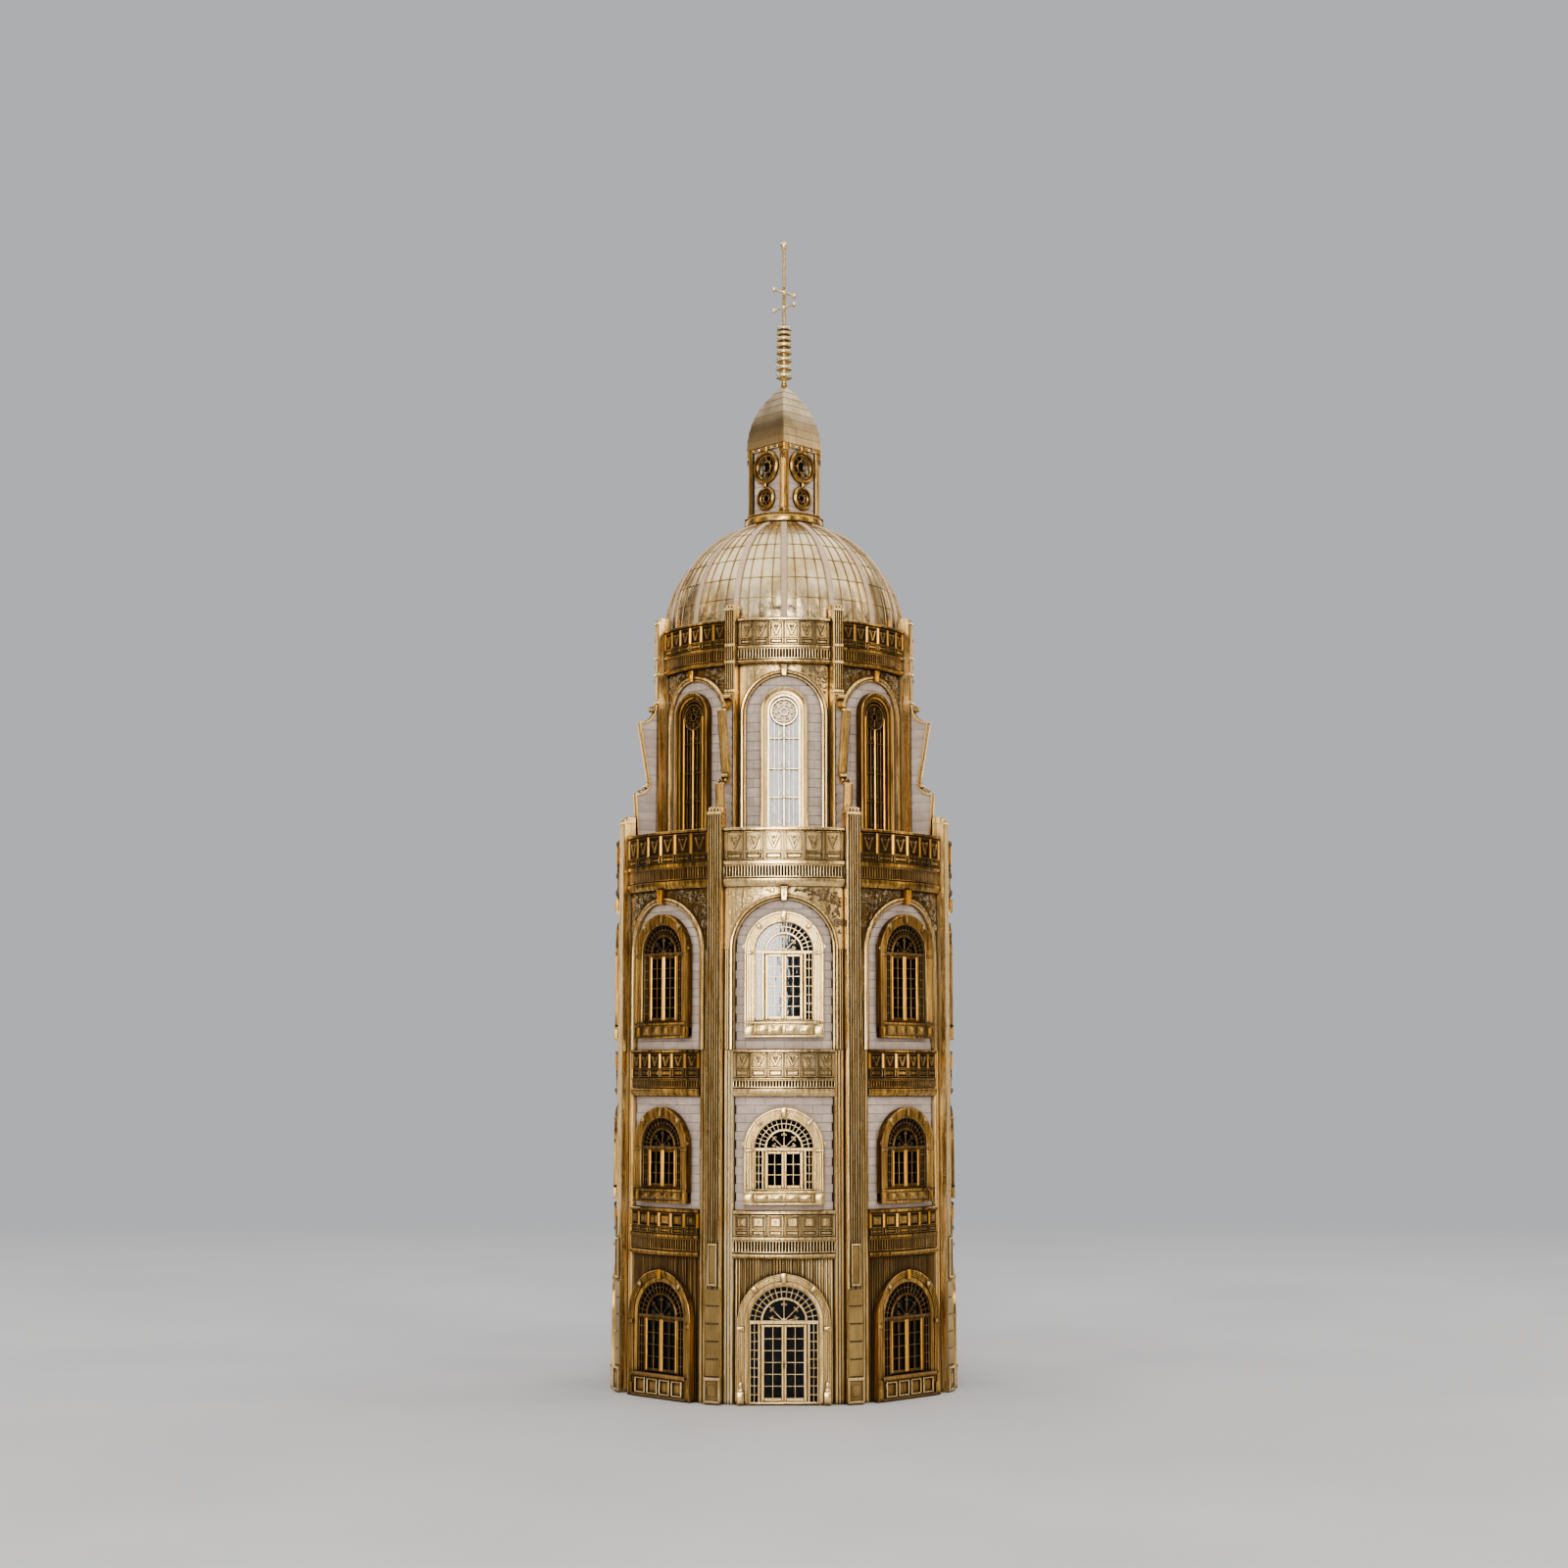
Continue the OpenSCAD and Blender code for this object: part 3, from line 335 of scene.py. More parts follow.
def gilt(name, hi=(0.86, 0.60, 0.26), mid=(0.62, 0.38, 0.12), lo=(0.28, 0.15, 0.03), patina=0.65, rough=0.24, streak=0.5, wear_amount=0.25, foot_darkening=None,
         blotch=0.30, relief=0.10, spread=0.16, left_painted_shade=0.0):
    m = bpy.data.materials.new(name)
    nt = nodes_of(m)
    L = nt.links
    out = nt.nodes.new("ShaderNodeOutputMaterial")
    b = nt.nodes.new("ShaderNodeBsdfPrincipled")
    L.new(b.outputs[0], out.inputs[0])
    v1 = stretched(nt, 1, 1, 1)
    v2 = stretched(nt, 1, 1, 0.05)
    big = noise(nt, v1, 38, 5)
    fine = noise(nt, v1, 620, 3)
    runs = noise(nt, v2, 640, 4, 0.65)
    base = math_(nt, "ADD", math_(nt, "MULTIPLY", big, 1 - streak), math_(nt, "MULTIPLY", runs, streak))
    col = ramp(nt, base, [(0.5 - spread, lo), (0.5, mid), (0.5 + spread, hi)])
    ao = nt.nodes.new("ShaderNodeAmbientOcclusion")
    ao.samples = 6
    ao.inputs["Distance"].default_value = 0.0030
    edge = nt.nodes.new("ShaderNodeAmbientOcclusion")
    edge.samples = 6
    edge.inside = True
    edge.inputs["Distance"].default_value = 0.0003
    # dark patina gathers in recesses and where the mottling is heavy
    rec = math_(nt, "SUBTRACT", 1.0, ao.outputs["AO"])
    pat = math_(nt, "MULTIPLY", math_(nt, "ADD", math_(nt, "MULTIPLY", rec, 2.2), math_(nt, "MULTIPLY", math_(nt, "SUBTRACT", runs, 0.66), 1.4)), patina * 2.0, True)
    spots = math_(nt, "MULTIPLY", math_(nt, "SUBTRACT", noise(nt, v1, 30, 6, 0.72), 0.54), 6.0 * patina, True)
    pat = math_(nt, "MAXIMUM", pat, math_(nt, "MULTIPLY", spots, blotch))
    if foot_darkening:
        # mottled darkening that thickens towards the foot of the dome
        sep = nt.nodes.new("ShaderNodeSeparateXYZ")
        L.new(v1, sep.inputs[0])
        h0 = math_(nt, "MULTIPLY", math_(nt, "SUBTRACT", foot_darkening[0], sep.outputs["Z"]), 1.0 / foot_darkening[1], True)
        mott = math_(nt, "MULTIPLY", math_(nt, "SUBTRACT", noise(nt, v1, 120, 6, 0.72), 0.40), 4.5, True)
        pat = math_(nt, "MAXIMUM", pat, math_(nt, "MULTIPLY", math_(nt, "MULTIPLY", h0, mott), 0.90))
        # away from the front the lower sheets are painted darker in upright streaks: painted shade for the dull
        # reflection there
        ax = math_(nt, "ABSOLUTE", sep.outputs["X"], 0.0)
        far = math_(nt, "MULTIPLY", math_(nt, "ADD", math_(nt, "MULTIPLY", ax, 0.95), sep.outputs["Y"]), 60.0, True)
        foot = math_(nt, "MULTIPLY", math_(nt, "SUBTRACT", 0.512, sep.outputs["Z"]), 28.0, True)
        strk = math_(nt, "MULTIPLY", math_(nt, "SUBTRACT", noise(nt, v2, 260, 4, 0.6), 0.36), 5.0, True)
        flank_painted_shade = math_(nt, "MULTIPLY", math_(nt, "MULTIPLY", far, foot), math_(nt, "MULTIPLY", strk, 0.80))
        col = mix(nt, flank_painted_shade, col, (0.20, 0.105, 0.028))
    if left_painted_shade:
        # one flank of the roof painted darker than the other: painted shade
        sepx = nt.nodes.new("ShaderNodeSeparateXYZ")
        L.new(v1, sepx.inputs[0])
        side = math_(nt, "MULTIPLY", sepx.outputs["X"], -900.0, True)
        col = mix(nt, math_(nt, "MULTIPLY", side, left_painted_shade), col, tuple(0.75 * c for c in lo))
    col = mix(nt, pat, col, (0.030, 0.016, 0.005))
    wear = math_(nt, "MULTIPLY", math_(nt, "SUBTRACT", 1.0, edge.outputs["AO"]), wear_amount, True)
    col = mix(nt, wear, col, (0.96, 0.82, 0.56))
    L.new(col, b.inputs["Base Color"])
    metal = math_(nt, "SUBTRACT", 1.0, math_(nt, "MULTIPLY", pat, 0.45))
    L.new(metal, b.inputs["Metallic"])
    r = math_(nt, "ADD", math_(nt, "MULTIPLY", runs, 0.12), rough - 0.03)
    r = math_(nt, "ADD", r, math_(nt, "MULTIPLY", pat, 0.30), True)
    L.new(r, b.inputs["Roughness"])
    bump = nt.nodes.new("ShaderNodeBump")
    bump.inputs["Strength"].default_value = relief
    bump.inputs["Distance"].default_value = 0.00025
    h = math_(nt, "ADD", math_(nt, "MULTIPLY", fine, 0.15), runs)
    L.new(h, bump.inputs["Height"])
    L.new(bump.outputs[0], b.inputs["Normal"])
    return m


def stone(name, c0=(0.40, 0.33, 0.31), c1=(0.60, 0.53, 0.50)):
    m = bpy.data.materials.new(name)
    nt = nodes_of(m)
    L = nt.links
    out = nt.nodes.new("ShaderNodeOutputMaterial")
    b = nt.nodes.new("ShaderNodeBsdfPrincipled")
    L.new(b.outputs[0], out.inputs[0])
    v = stretched(nt, 1, 1, 1)
    v2 = stretched(nt, 0.35, 0.35, 1)
    big, fine, bed = noise(nt, v, 70, 6, 0.65), noise(nt, v, 1500, 3, 0.7), noise(nt, v2, 420, 4)
    f = math_(nt, "ADD", math_(nt, "MULTIPLY", big, 0.5), math_(nt, "MULTIPLY", bed, 0.5))
    col = ramp(nt, f, [(0.34, c0), (0.66, c1)])
    # painted shade: the stone is darker in its recesses
    ao = nt.nodes.new("ShaderNodeAmbientOcclusion")
    ao.samples = 6
    ao.inputs["Distance"].default_value = 0.003
    col = mix(nt, math_(nt, "MULTIPLY", math_(nt, "SUBTRACT", 1.0, ao.outputs["AO"]), 0.9, True), col, (0.12, 0.075, 0.045))
    col = mix(nt, math_(nt, "MULTIPLY", fine, 0.22), col, (0.30, 0.23, 0.20))
    isl = nt.nodes.new("ShaderNodeNewGeometry")  # each block its own tone
    col = mix(nt, math_(nt, "MULTIPLY", isl.outputs["Random Per Island"], 0.42), col, (0.30, 0.215, 0.18))
    L.new(col, b.inputs["Base Color"])
    L.new(math_(nt, "ADD", math_(nt, "MULTIPLY", big, 0.25), 0.50), b.inputs["Roughness"])
    bump = nt.nodes.new("ShaderNodeBump")
    bump.inputs["Strength"].default_value = 0.5
    bump.inputs["Distance"].default_value = 0.0003
    L.new(math_(nt, "ADD", fine, bed), bump.inputs["Height"])
    L.new(bump.outputs[0], b.inputs["Normal"])
    return m


def glass(name, tint, alpha, rough, metal=0.0, spec=0.5):
    m = bpy.data.materials.new(name)
    nt = nodes_of(m)
    L = nt.links
    out = nt.nodes.new("ShaderNodeOutputMaterial")
    b = nt.nodes.new("ShaderNodeBsdfPrincipled")
    L.new(b.outputs[0], out.inputs[0])
    v = stretched(nt, 1, 1, 0.4)
    n1, n2 = noise(nt, v, 160, 3), noise(nt, v, 900, 2)
    dark = tuple(0.55 * c for c in tint)
    L.new(ramp(nt, n1, [(0.35, dark), (0.65, tint)]), b.inputs["Base Color"])
    L.new(math_(nt, "ADD", math_(nt, "MULTIPLY", n2, 0.03), rough), b.inputs["Roughness"])
    b.inputs["Metallic"].default_value = metal
    b.inputs["IOR"].default_value = 1.6
    b.inputs["Specular IOR Level"].default_value = spec
    b.inputs["Alpha"].default_value = alpha
    bump = nt.nodes.new("ShaderNodeBump")
    bump.inputs["Strength"].default_value = 0.05
    bump.inputs["Distance"].default_value = 0.0004
    L.new(n1, bump.inputs["Height"])
    L.new(bump.outputs[0], b.inputs["Normal"])
    return m


def plain(name, c0, c1, rough, scale=300, metal=0.0):
    m = bpy.data.materials.new(name)
    nt = nodes_of(m)
    L = nt.links
    out = nt.nodes.new("ShaderNodeOutputMaterial")
    b = nt.nodes.new("ShaderNodeBsdfPrincipled")
    L.new(b.outputs[0], out.inputs[0])
    n = noise(nt, stretched(nt, 1, 1, 1), scale, 5)
    L.new(ramp(nt, n, [(0.3, c0), (0.7, c1)]), b.inputs["Base Color"])
    L.new(math_(nt, "ADD", math_(nt, "MULTIPLY", n, 0.2), rough - 0.1), b.inputs["Roughness"])
    b.inputs["Metallic"].default_value = metal
    bump = nt.nodes.new("ShaderNodeBump")
    bump.inputs["Strength"].default_value = 0.4
    bump.inputs["Distance"].default_value = 0.0003
    L.new(n, bump.inputs["Height"])
    L.new(bump.outputs[0], b.inputs["Normal"])
    return m


M = {
    "gilt": gilt("gilt_mid"),
    # pale gilt for the front copies and small bright parts: painted light and painted highlights
    "gilt_light": gilt("gilt_light", hi=(0.89, 0.69, 0.39), mid=(0.72, 0.51, 0.24), lo=(0.43, 0.27, 0.095), patina=0.70, rough=0.24, streak=0.80, wear_amount=0.14, blotch=0.15, relief=0.06),
    # brightest gilt for the lit left strip beside the front: painted light
    "gilt_bright": gilt("gilt_bright", hi=(0.97, 0.84, 0.58), mid=(0.90, 0.73, 0.44), lo=(0.66, 0.47, 0.21), patina=0.45, rough=0.24, streak=0.70, wear_amount=0.20, blotch=0.10),
    # amber gilt for uprights, stiles and keystones away from the front: painted glints
    "gilt_painted_glint": gilt("gilt_painted_glint", hi=(0.90, 0.50, 0.12), mid=(0.76, 0.38, 0.065), lo=(0.46, 0.20, 0.03), patina=0.45, rough=0.28, streak=0.80, wear_amount=0.0, blotch=0.10),
    # darker gilt for the side copies of the bays: painted shade
    "gilt_amber": gilt("gilt_amber", hi=(0.74, 0.46, 0.15), mid=(0.35, 0.205, 0.058), lo=(0.09, 0.048, 0.012), patina=1.0, rough=0.26, streak=0.85, wear_amount=0.20),
    # deeper painted shade for side parts and for the recessed inner faces of the side windows
    "gilt_umber": gilt("gilt_umber", hi=(0.40, 0.24, 0.08), mid=(0.155, 0.09, 0.028), lo=(0.045, 0.025, 0.008), patina=0.9, rough=0.34, streak=0.85, wear_amount=0.12),
    # paler ground for the front friezes: painted light
    "gilt_ground": gilt("gilt_ground", hi=(0.84, 0.65, 0.36), mid=(0.68, 0.49, 0.24), lo=(0.44, 0.29, 0.11), patina=0.5, rough=0.26, streak=0.7, wear_amount=0.0, blotch=0.12, relief=0.05),
    # near-black ground for the side friezes: painted shade
    "gilt_black": gilt("gilt_black", hi=(0.20, 0.115, 0.035), mid=(0.085, 0.048, 0.015), lo=(0.025, 0.014, 0.005), patina=1.0, rough=0.38, streak=0.5, wear_amount=0.10),
    "gilt_block": gilt("gilt_block", hi=(0.50, 0.36, 0.16), mid=(0.36, 0.25, 0.105), lo=(0.20, 0.13, 0.048), patina=0.8, rough=0.32, streak=0.4, wear_amount=0.25, blotch=0.25),
    "gilt_pier": gilt("gilt_pier", hi=(0.95, 0.73, 0.40), mid=(0.76, 0.53, 0.23), lo=(0.34, 0.20, 0.06), patina=0.50, rough=0.24, streak=0.92, wear_amount=0.24, blotch=0.18, spread=0.15),
    # the cupola's left flank is painted darker: painted shade
    "gilt_cupola": gilt("gilt_cupola", hi=(0.82, 0.69, 0.48), mid=(0.66, 0.52, 0.32), lo=(0.30, 0.21, 0.11), patina=0.60, rough=0.27, streak=0.3, wear_amount=0.0, blotch=0.60, relief=0.03, left_painted_shade=0.70),
    "gilt_seam": gilt("gilt_seam", hi=(0.66, 0.47, 0.22), mid=(0.48, 0.32, 0.13), lo=(0.30, 0.18, 0.06), patina=0.2, rough=0.30, streak=0.3, wear_amount=0.0, blotch=0.0, relief=0.02),
    "gilt_fine": gilt("gilt_fine", hi=(0.66, 0.46, 0.20), mid=(0.52, 0.34, 0.13), lo=(0.36, 0.21, 0.06), patina=0.30, rough=0.26, streak=0.3, wear_amount=0.0, blotch=0.0, relief=0.02),
    "gilt_pale": gilt("gilt_pale", hi=(0.97, 0.84, 0.60), mid=(0.92, 0.76, 0.48), lo=(0.80, 0.62, 0.34), patina=0.10, rough=0.27, streak=0.3, wear_amount=0.0, blotch=0.0, relief=0.02),
    # dark aged gilt, also painted shade for the shadow lines under the cupola planks
    "gilt_dark": gilt("gilt_aged_and_shade", hi=(0.56, 0.36, 0.13), mid=(0.28, 0.16, 0.05), lo=(0.09, 0.045, 0.012), patina=0.85, rough=0.36, streak=0.5, wear_amount=0.35),
    # lighter gilt for the front copies of the lower surrounds: painted light
    "gilt_tan": gilt("gilt_tan", hi=(0.84, 0.63, 0.33), mid=(0.62, 0.43, 0.19), lo=(0.34, 0.21, 0.075), patina=1.0, rough=0.23, streak=0.85, wear_amount=0.22, blotch=0.15, relief=0.06),
    "gilt_dome": gilt("gilt_dome", hi=(0.98, 0.83, 0.56), mid=(0.90, 0.71, 0.43), lo=(0.60, 0.42, 0.19), patina=0.40, rough=0.25, streak=0.25, wear_amount=0.05, foot_darkening=(0.479, 0.018), blotch=0.40, relief=0.03),
    "stone": stone("stone_mauve", (0.45, 0.36, 0.295), (0.68, 0.575, 0.49)),
    "stone_pale": stone("stone_pale", (0.60, 0.48, 0.39), (0.80, 0.68, 0.57)),
    "stone_rib": stone("stone_rib", (0.64, 0.46, 0.28), (0.84, 0.64, 0.42)),
    "glass": glass("pane_glass", (0.004, 0.005, 0.007), 0.94, 0.015, spec=0.12),
    "glass_three": glass("pane_glass_three", (0.006, 0.008, 0.012), 0.94, 0.015, spec=0.75),
    "amber_glass": glass("amber_glass", (0.045, 0.024, 0.007), 0.94, 0.05, spec=0.5),
    # pale blue-white glass colour for the front lancet: painted reflection
    "glass_sheen_painted": glass("sheen_painted_glass", (0.46, 0.53, 0.66), 0.95, 0.14, spec=0.5),
    "lens": glass("lens_glass", (0.70, 0.78, 0.88), 0.28, 0.03),
    "core": plain("core_dark", (0.006, 0.005, 0.004), (0.020, 0.014, 0.010), 0.75),
    "felt": plain("felt_green", (0.012, 0.035, 0.02), (0.03, 0.07, 0.045), 0.95, 1400),
}


def piece(name, g, mat, body="tower", replaces=(), angle=32, inner=None):
    """inner = (material, y): faces of a bay piece lying closer to the axis than y take that material."""
    me = bpy.data.meshes.new(name)
    me.from_pydata([tuple(p) for p in g.pts() * 0.001], [], g.f)
    bm = bmesh.new()
    bm.from_mesh(me)
    bmesh.ops.recalc_face_normals(bm, faces=bm.faces)
    bm.to_mesh(me)
    bm.free()
    me.shade_smooth()
    me.set_sharp_from_angle(angle=radians(angle))
    ob = bpy.data.objects.new(name, me)
    bpy.context.scene.collection.objects.link(ob)
    me.materials.append(M[mat])
    if inner:
        me.materials.append(M[inner[0]])
        for p in me.polygons:
            a = math.atan2(p.center[0], -p.center[1])
            a -= round(a / (pi / 4)) * pi / 4
            if math.hypot(p.center[0], p.center[1]) * cos(a) * 1000 < inner[1]:
                p.material_index = 1
    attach(ob, body)
    if replaces:
        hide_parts(*replaces)
    return ob


def bays(name, g, side_mat, front_mat, replaces=(), angle=32, inner=None):
    # the side copies take a darker gilt and the front copy a paler one: painted shade on the sides, painted light on
    # the front
    piece(name, ring(g, SIDE_BAYS), side_mat, replaces=replaces, angle=angle, inner=inner)
    piece(name + "_front", g, front_mat, angle=angle)


# ------------------------------------------------------------------ dimensions (mm), as the frame has them
DR, SR = 98.5, 101.5
HB = 22.5 - math.degrees(asin(4.6 / 98.5))
UHB = 22.5 - math.degrees(asin(3.35 / 75))
HX, UHX = radians(HB), radians(UHB)
LY, FY, LT = 100.2, 104.0, 1.6

# ------------------------------------------------------------------ ground storey
# wall with fine vertical reeding
g = Geo()
n = 8 * 64
g.join(lathe([(95.5, 81), (95.5, 108), (98.49, 108), (98.49, 81)], 192))
piece("drum_ground_ring", g, "gilt_dark")
g = Geo()
for s in (-1, 1):
    # reeds of uneven width and height beside and over the arch; their lower ends follow the arch
    rng = np.random.RandomState(21 + s)
    edges = [0.02]
    while edges[-1] < 27.6:
        edges.append(edges[-1] + 0.75 + 1.15 * rng.rand() ** 1.5)
    edges[-1] = 28.55
    rings_ = []
    for a_, b_ in zip(edges, edges[1:]):
        top_, low_ = 100.10 + 0.48 * rng.rand(), 99.45 + 0.3 * rng.rand()
        for t in (0.02, 0.12, 0.3, 0.5, 0.7, 0.88, 0.98):
            x = a_ + (b_ - a_) * t
            zb = 0.0 if x >= 22.75 else 46.2 + sqrt(max(0.0, 22.75 ** 2 - x * x))
            y = low_ + (top_ - low_) * sin(pi * min(1, max(0, (t - 0.02) / 0.96))) ** 0.6
            zs = np.linspace(zb, 81.0, 4)
            rings_.append([(s * x, y, z) for z in zs] + [(s * x, 98.6, z) for z in zs[::-1]])
    g.join(loft(rings_))
bays("wall_reeding", bent(g, 100.5), "gilt_umber", "gilt_light", ["ground_drum"], 25)
g = Geo()
for s in (-1, 1):
    g.join(course([(95.5, 0), (98.5, 0), (98.5, 81), (95.5, 81)], 37.5, x0=22.8) if s > 0 else course([(95.5, 0), (98.5, 0), (98.5, 81), (95.5, 81)], -22.8, x0=-37.5))
xs = np.linspace(-22.8, 22.8, 40)
g.join(loft([[(x, 95.5, 46.2 + sqrt(max(0, 22.8 ** 2 - x * x))), (x, 98.5, 46.2 + sqrt(max(0, 22.8 ** 2 - x * x))), (x, 98.5, 81), (x, 95.5, 81)] for x in xs]))
piece("drum_ground_wall", ring(bent(g, 97), BAYS), "gilt_dark")


# stepped architrave: section steps outward
def architrave(wi, wo, zb, zs, y0, y1, seg=36):
    w = wo - wi
    prof = [(0, y0), (0, y1 - 1.9)]
    k = max(3, int(round(w * 0.74 / 0.85)))
    for i in range(k):  # concentric reeds that step outwards
        a, b, top = w * 0.74 * i / k, w * 0.74 * (i + 1) / k, y1 - 1.45 + 1.15 * i / (k - 1)
        prof += [(a + (b - a) * 0.04, top - 0.42), (a + (b - a) * 0.22, top - 0.05), (a + (b - a) * 0.5, top), (a + (b - a) * 0.78, top - 0.05), (a + (b - a) * 0.96, top - 0.42)]
    prof += [(w * 0.78, y1 - 0.15), (w * 0.83, y1), (w * 0.94, y1), (w, y1 - 0.35), (w, y0)]
    return sweep(arch_path(wi, zb, zs, seg), prof)


def shallow(g, q=0.5):
    """Surround ornament outside radius 100.4 flattened, so that its face lands at 102.2."""
    return g.map(lambda p: np.stack([p[:, 0], np.where(p[:, 1] > 100.4, 100.4 + (p[:, 1] - 100.4) * q, p[:, 1]), p[:, 2]], 1))


def push(g, d=1.0):
    """Everything outside radius 101 moved out by d."""
    return g.map(lambda p: np.stack([p[:, 0], np.where(p[:, 1] > 101, p[:, 1] + d, p[:, 1]), p[:, 2]], 1))


def keystone(z0, z1, w0, w1, y0, y1):
    g = loft([[(-w0, y0, z0), (w0, y0, z0), (w1, y0, z1), (-w1, y0, z1)],
              [(-w0, y1 - 0.5, z0), (w0, y1 - 0.5, z0), (w1, y1 - 0.3, z1), (-w1, y1 - 0.3, z1)],
              [(-w0 * 0.7, y1 - 0.1, z0 + 0.5), (w0 * 0.7, y1 - 0.1, z0 + 0.5), (w1 * 0.75, y1, z1 - 0.5), (-w1 * 0.75, y1, z1 - 0.5)]])
    g.join(leaf(0, z1 - 1.2, -pi / 2, (z1 - z0) * 0.8, w0 * 0.55, y1 - 0.25, 0.35))
    return g


def skew_block(cz, r, deg, w, L, y0, y1):
    a = radians(deg)
    c, s = cos(a), sin(a)
    q = block(-w / 2, w / 2, -L / 2, L / 2, y0, y1, 0.3)
    return q.map(lambda p: np.stack([r * c + p[:, 0] * -s + p[:, 2] * c, p[:, 1], cz + r * s + p[:, 0] * c + p[:, 2] * s], 1))


g = architrave(22.75, 26.3, 0.0, 46.2, 98.5, FY)
gk = keystone(67.6, 72.8, 1.2, 1.7, 100.5, 104.7)
for d in (47, 133):
    g.join(skew_block(46.2, 24.3, d, 2.2, 3.6, 101, 104.5))
for s in (-1, 1):
    for z0, z1 in ((0.4, 7.5), (41.2, 43.4)):
        g.join(block(s * 24.5 - 2.0, s * 24.5 + 2.0, z0, z1, 102, 104.4))
    g.join(ball((s * 24.5, 103.9, 11.0), 1.3, 12, sz=1.7, sy=0.8))
    g.join(block(s * 24.5 - 1.2, s * 24.5 + 1.2, 7.2, 9.4, 102, 104.6, 0.5))
piece("ground_architraves", ring(flat(shallow(g)), SIDE_BAYS), "gilt_amber", replaces=["ground_arches"])
piece("ground_architraves_front", flat(shallow(g)), "gilt_tan")
piece("ground_keystones", ring(flat(shallow(gk)), SIDE_BAYS), "gilt_painted_glint")
piece("ground_keystones_front", flat(shallow(gk)), "gilt_light")
knobs_ = Geo()  # small knobs at the shoulders of every arch away from the front, pale as painted highlights
stiles_ = Geo()  # stiles of the fixed leaves there, bright with a painted glint
for cz_, rk_ in ((46.2, 24.3), (142.6, 21.6), (254.6, 21.6)):
    for d in (47, 133):
        knobs_.join(ball((rk_ * cos(radians(d)), 102.1, cz_ + rk_ * sin(radians(d))), 1.25, 12, sy=0.7))
for x1_, zb_, zt_ in ((13.3, 15.2, 44.6), (11.3, 120.0, 141.0), (11.3, 215.6, 253.0)):
    for s in (-1, 1):
        for a_, b_ in ((0.15, 1.3), (x1_ - 1.3, x1_ - 0.05)):
            lo_, hi_ = sorted((s * a_, s * b_))
            stiles_.join(block(lo_, hi_, zb_, zt_, 99.7, 100.34, 0.3))
piece("shoulder_knobs", ring(flat(knobs_), SIDE_BAYS), "gilt_light")
piece("bright_stiles", ring(flat(stiles_), SIDE_BAYS), "gilt_painted_glint")


def fan(wi, ringr, cz, y0, y1, spokes=(14, 45, 90, 135, 166)):
    """Semicircular light: two rows of radial panes, an inner fanlight with scrolls."""
    g = Geo()
    g.join(arc_bar(cz, wi - 0.25, 0, 180, 0.6, y0, y1, 36))
    rm = (wi + ringr) / 2
    g.join(arc_bar(cz, rm, 0, 180, 0.5, y0, y1 - 0.1, 36))
    g.join(arc_bar(cz, ringr - 0.6, 0, 180, 1.5, y0, y1 + 0.15, 36))
    for k in range(1, 17):
        a = pi * k / 17
        g.join(bar(ringr * cos(a), cz + ringr * sin(a), (wi - 0.4) * cos(a), cz + (wi - 0.4) * sin(a), 0.5, y0, y1 - 0.15))
    ri = ringr - 1.3
    for d in spokes:
        a = radians(d)
        L_ = ri if d in (45, 90, 135) else ri * 0.72
        g.join(bar(1.2 * cos(a), cz + 1.2 * sin(a), L_ * cos(a), cz + L_ * sin(a), 0.5, y0, y1 - 0.1))
        for h in (-1, 1):
            q = L_ * 0.78
            g.join(curl(q * cos(a) - h * 0.95 * sin(a), cz + q * sin(a) + h * 0.95 * cos(a), 0.85, a - h * pi / 2, 0.85, y1 - 0.45, 0.2, h, 14))
    g.join(arc_bar(cz, 1.5, 0, 180, 0.8, y0, y1 + 0.1, 12))
    g.join(ball((0, y1 - 0.4, cz + 0.7), 0.9, 10))
    return g


def side_lights(x0, x1, zb, zt, y0, y1, rows):
    g = Geo()
    for s in (-1, 1):
        xm = (x0 + x1) / 2
        g.join(block(min(s * x0, s * (x0 + 1.3)), max(s * x0, s * (x0 + 1.3)), zb, zt, y0, y1 + 0.15, 0.3))
        g.join(block(min(s * (x1 - 1.0), s * x1), max(s * (x1 - 1.0), s * x1), zb, zt, y0, y1, 0.25))
        g.join(bar(s * (xm + 0.15), zb, s * (xm + 0.15), zt, 0.5, y0, y1 - 0.1))
        for k in range(1, rows):
            z = zb + (zt - zb) * k / rows
            g.join(bar(s * (x0 + 1.2), z, s * (x1 - 0.8), z, 0.5, y0, y1 - 0.15))
    return g


def leaf_frame(s, x0, x1, zb, zt, rows, y0, y1, stile=1.35, rail=1.5):
    """A glazed leaf from |x| = x0 to x1 with two columns of panes."""
    g = Geo()
    X = lambda a, b: (min(s * a, s * b), max(s * a, s * b))
    for a, b in ((x0, x0 + stile), (x1 - stile, x1)):
        lo, hi = X(a, b)
        g.join(block(lo, hi, zb, zt, y0, y1, 0.3))
    for z0, z1 in ((zb, zb + rail * 1.25), (zt - rail, zt)):
        lo, hi = X(x0 + stile - 0.02, x1 - stile + 0.02)
        g.join(block(lo, hi, z0, z1, y0, y1 - 0.12, 0.3))
    xm = (x0 + x1) / 2
    g.join(bar(s * xm, zb + rail, s * xm, zt - rail, 0.6, y0 + 0.3, y1 - 0.15))
    z0, z1 = zb + rail * 1.25, zt - rail
    for k in range(1, rows):
        z = z0 + (z1 - z0) * k / rows
        g.join(bar(s * (x0 + stile), z, s * (x1 - stile), z, 0.55, y0 + 0.3, y1 - 0.2))
    return g


def transom(wi, z0, z1, y0, y1):
    g = block(-wi, wi, z0, z1, y0, y1 + 0.35, 0.3)
    g.join(bar(-wi, z1 - 0.45, wi, z1 - 0.45, 0.6, y0, y1 + 0.75))
    return g


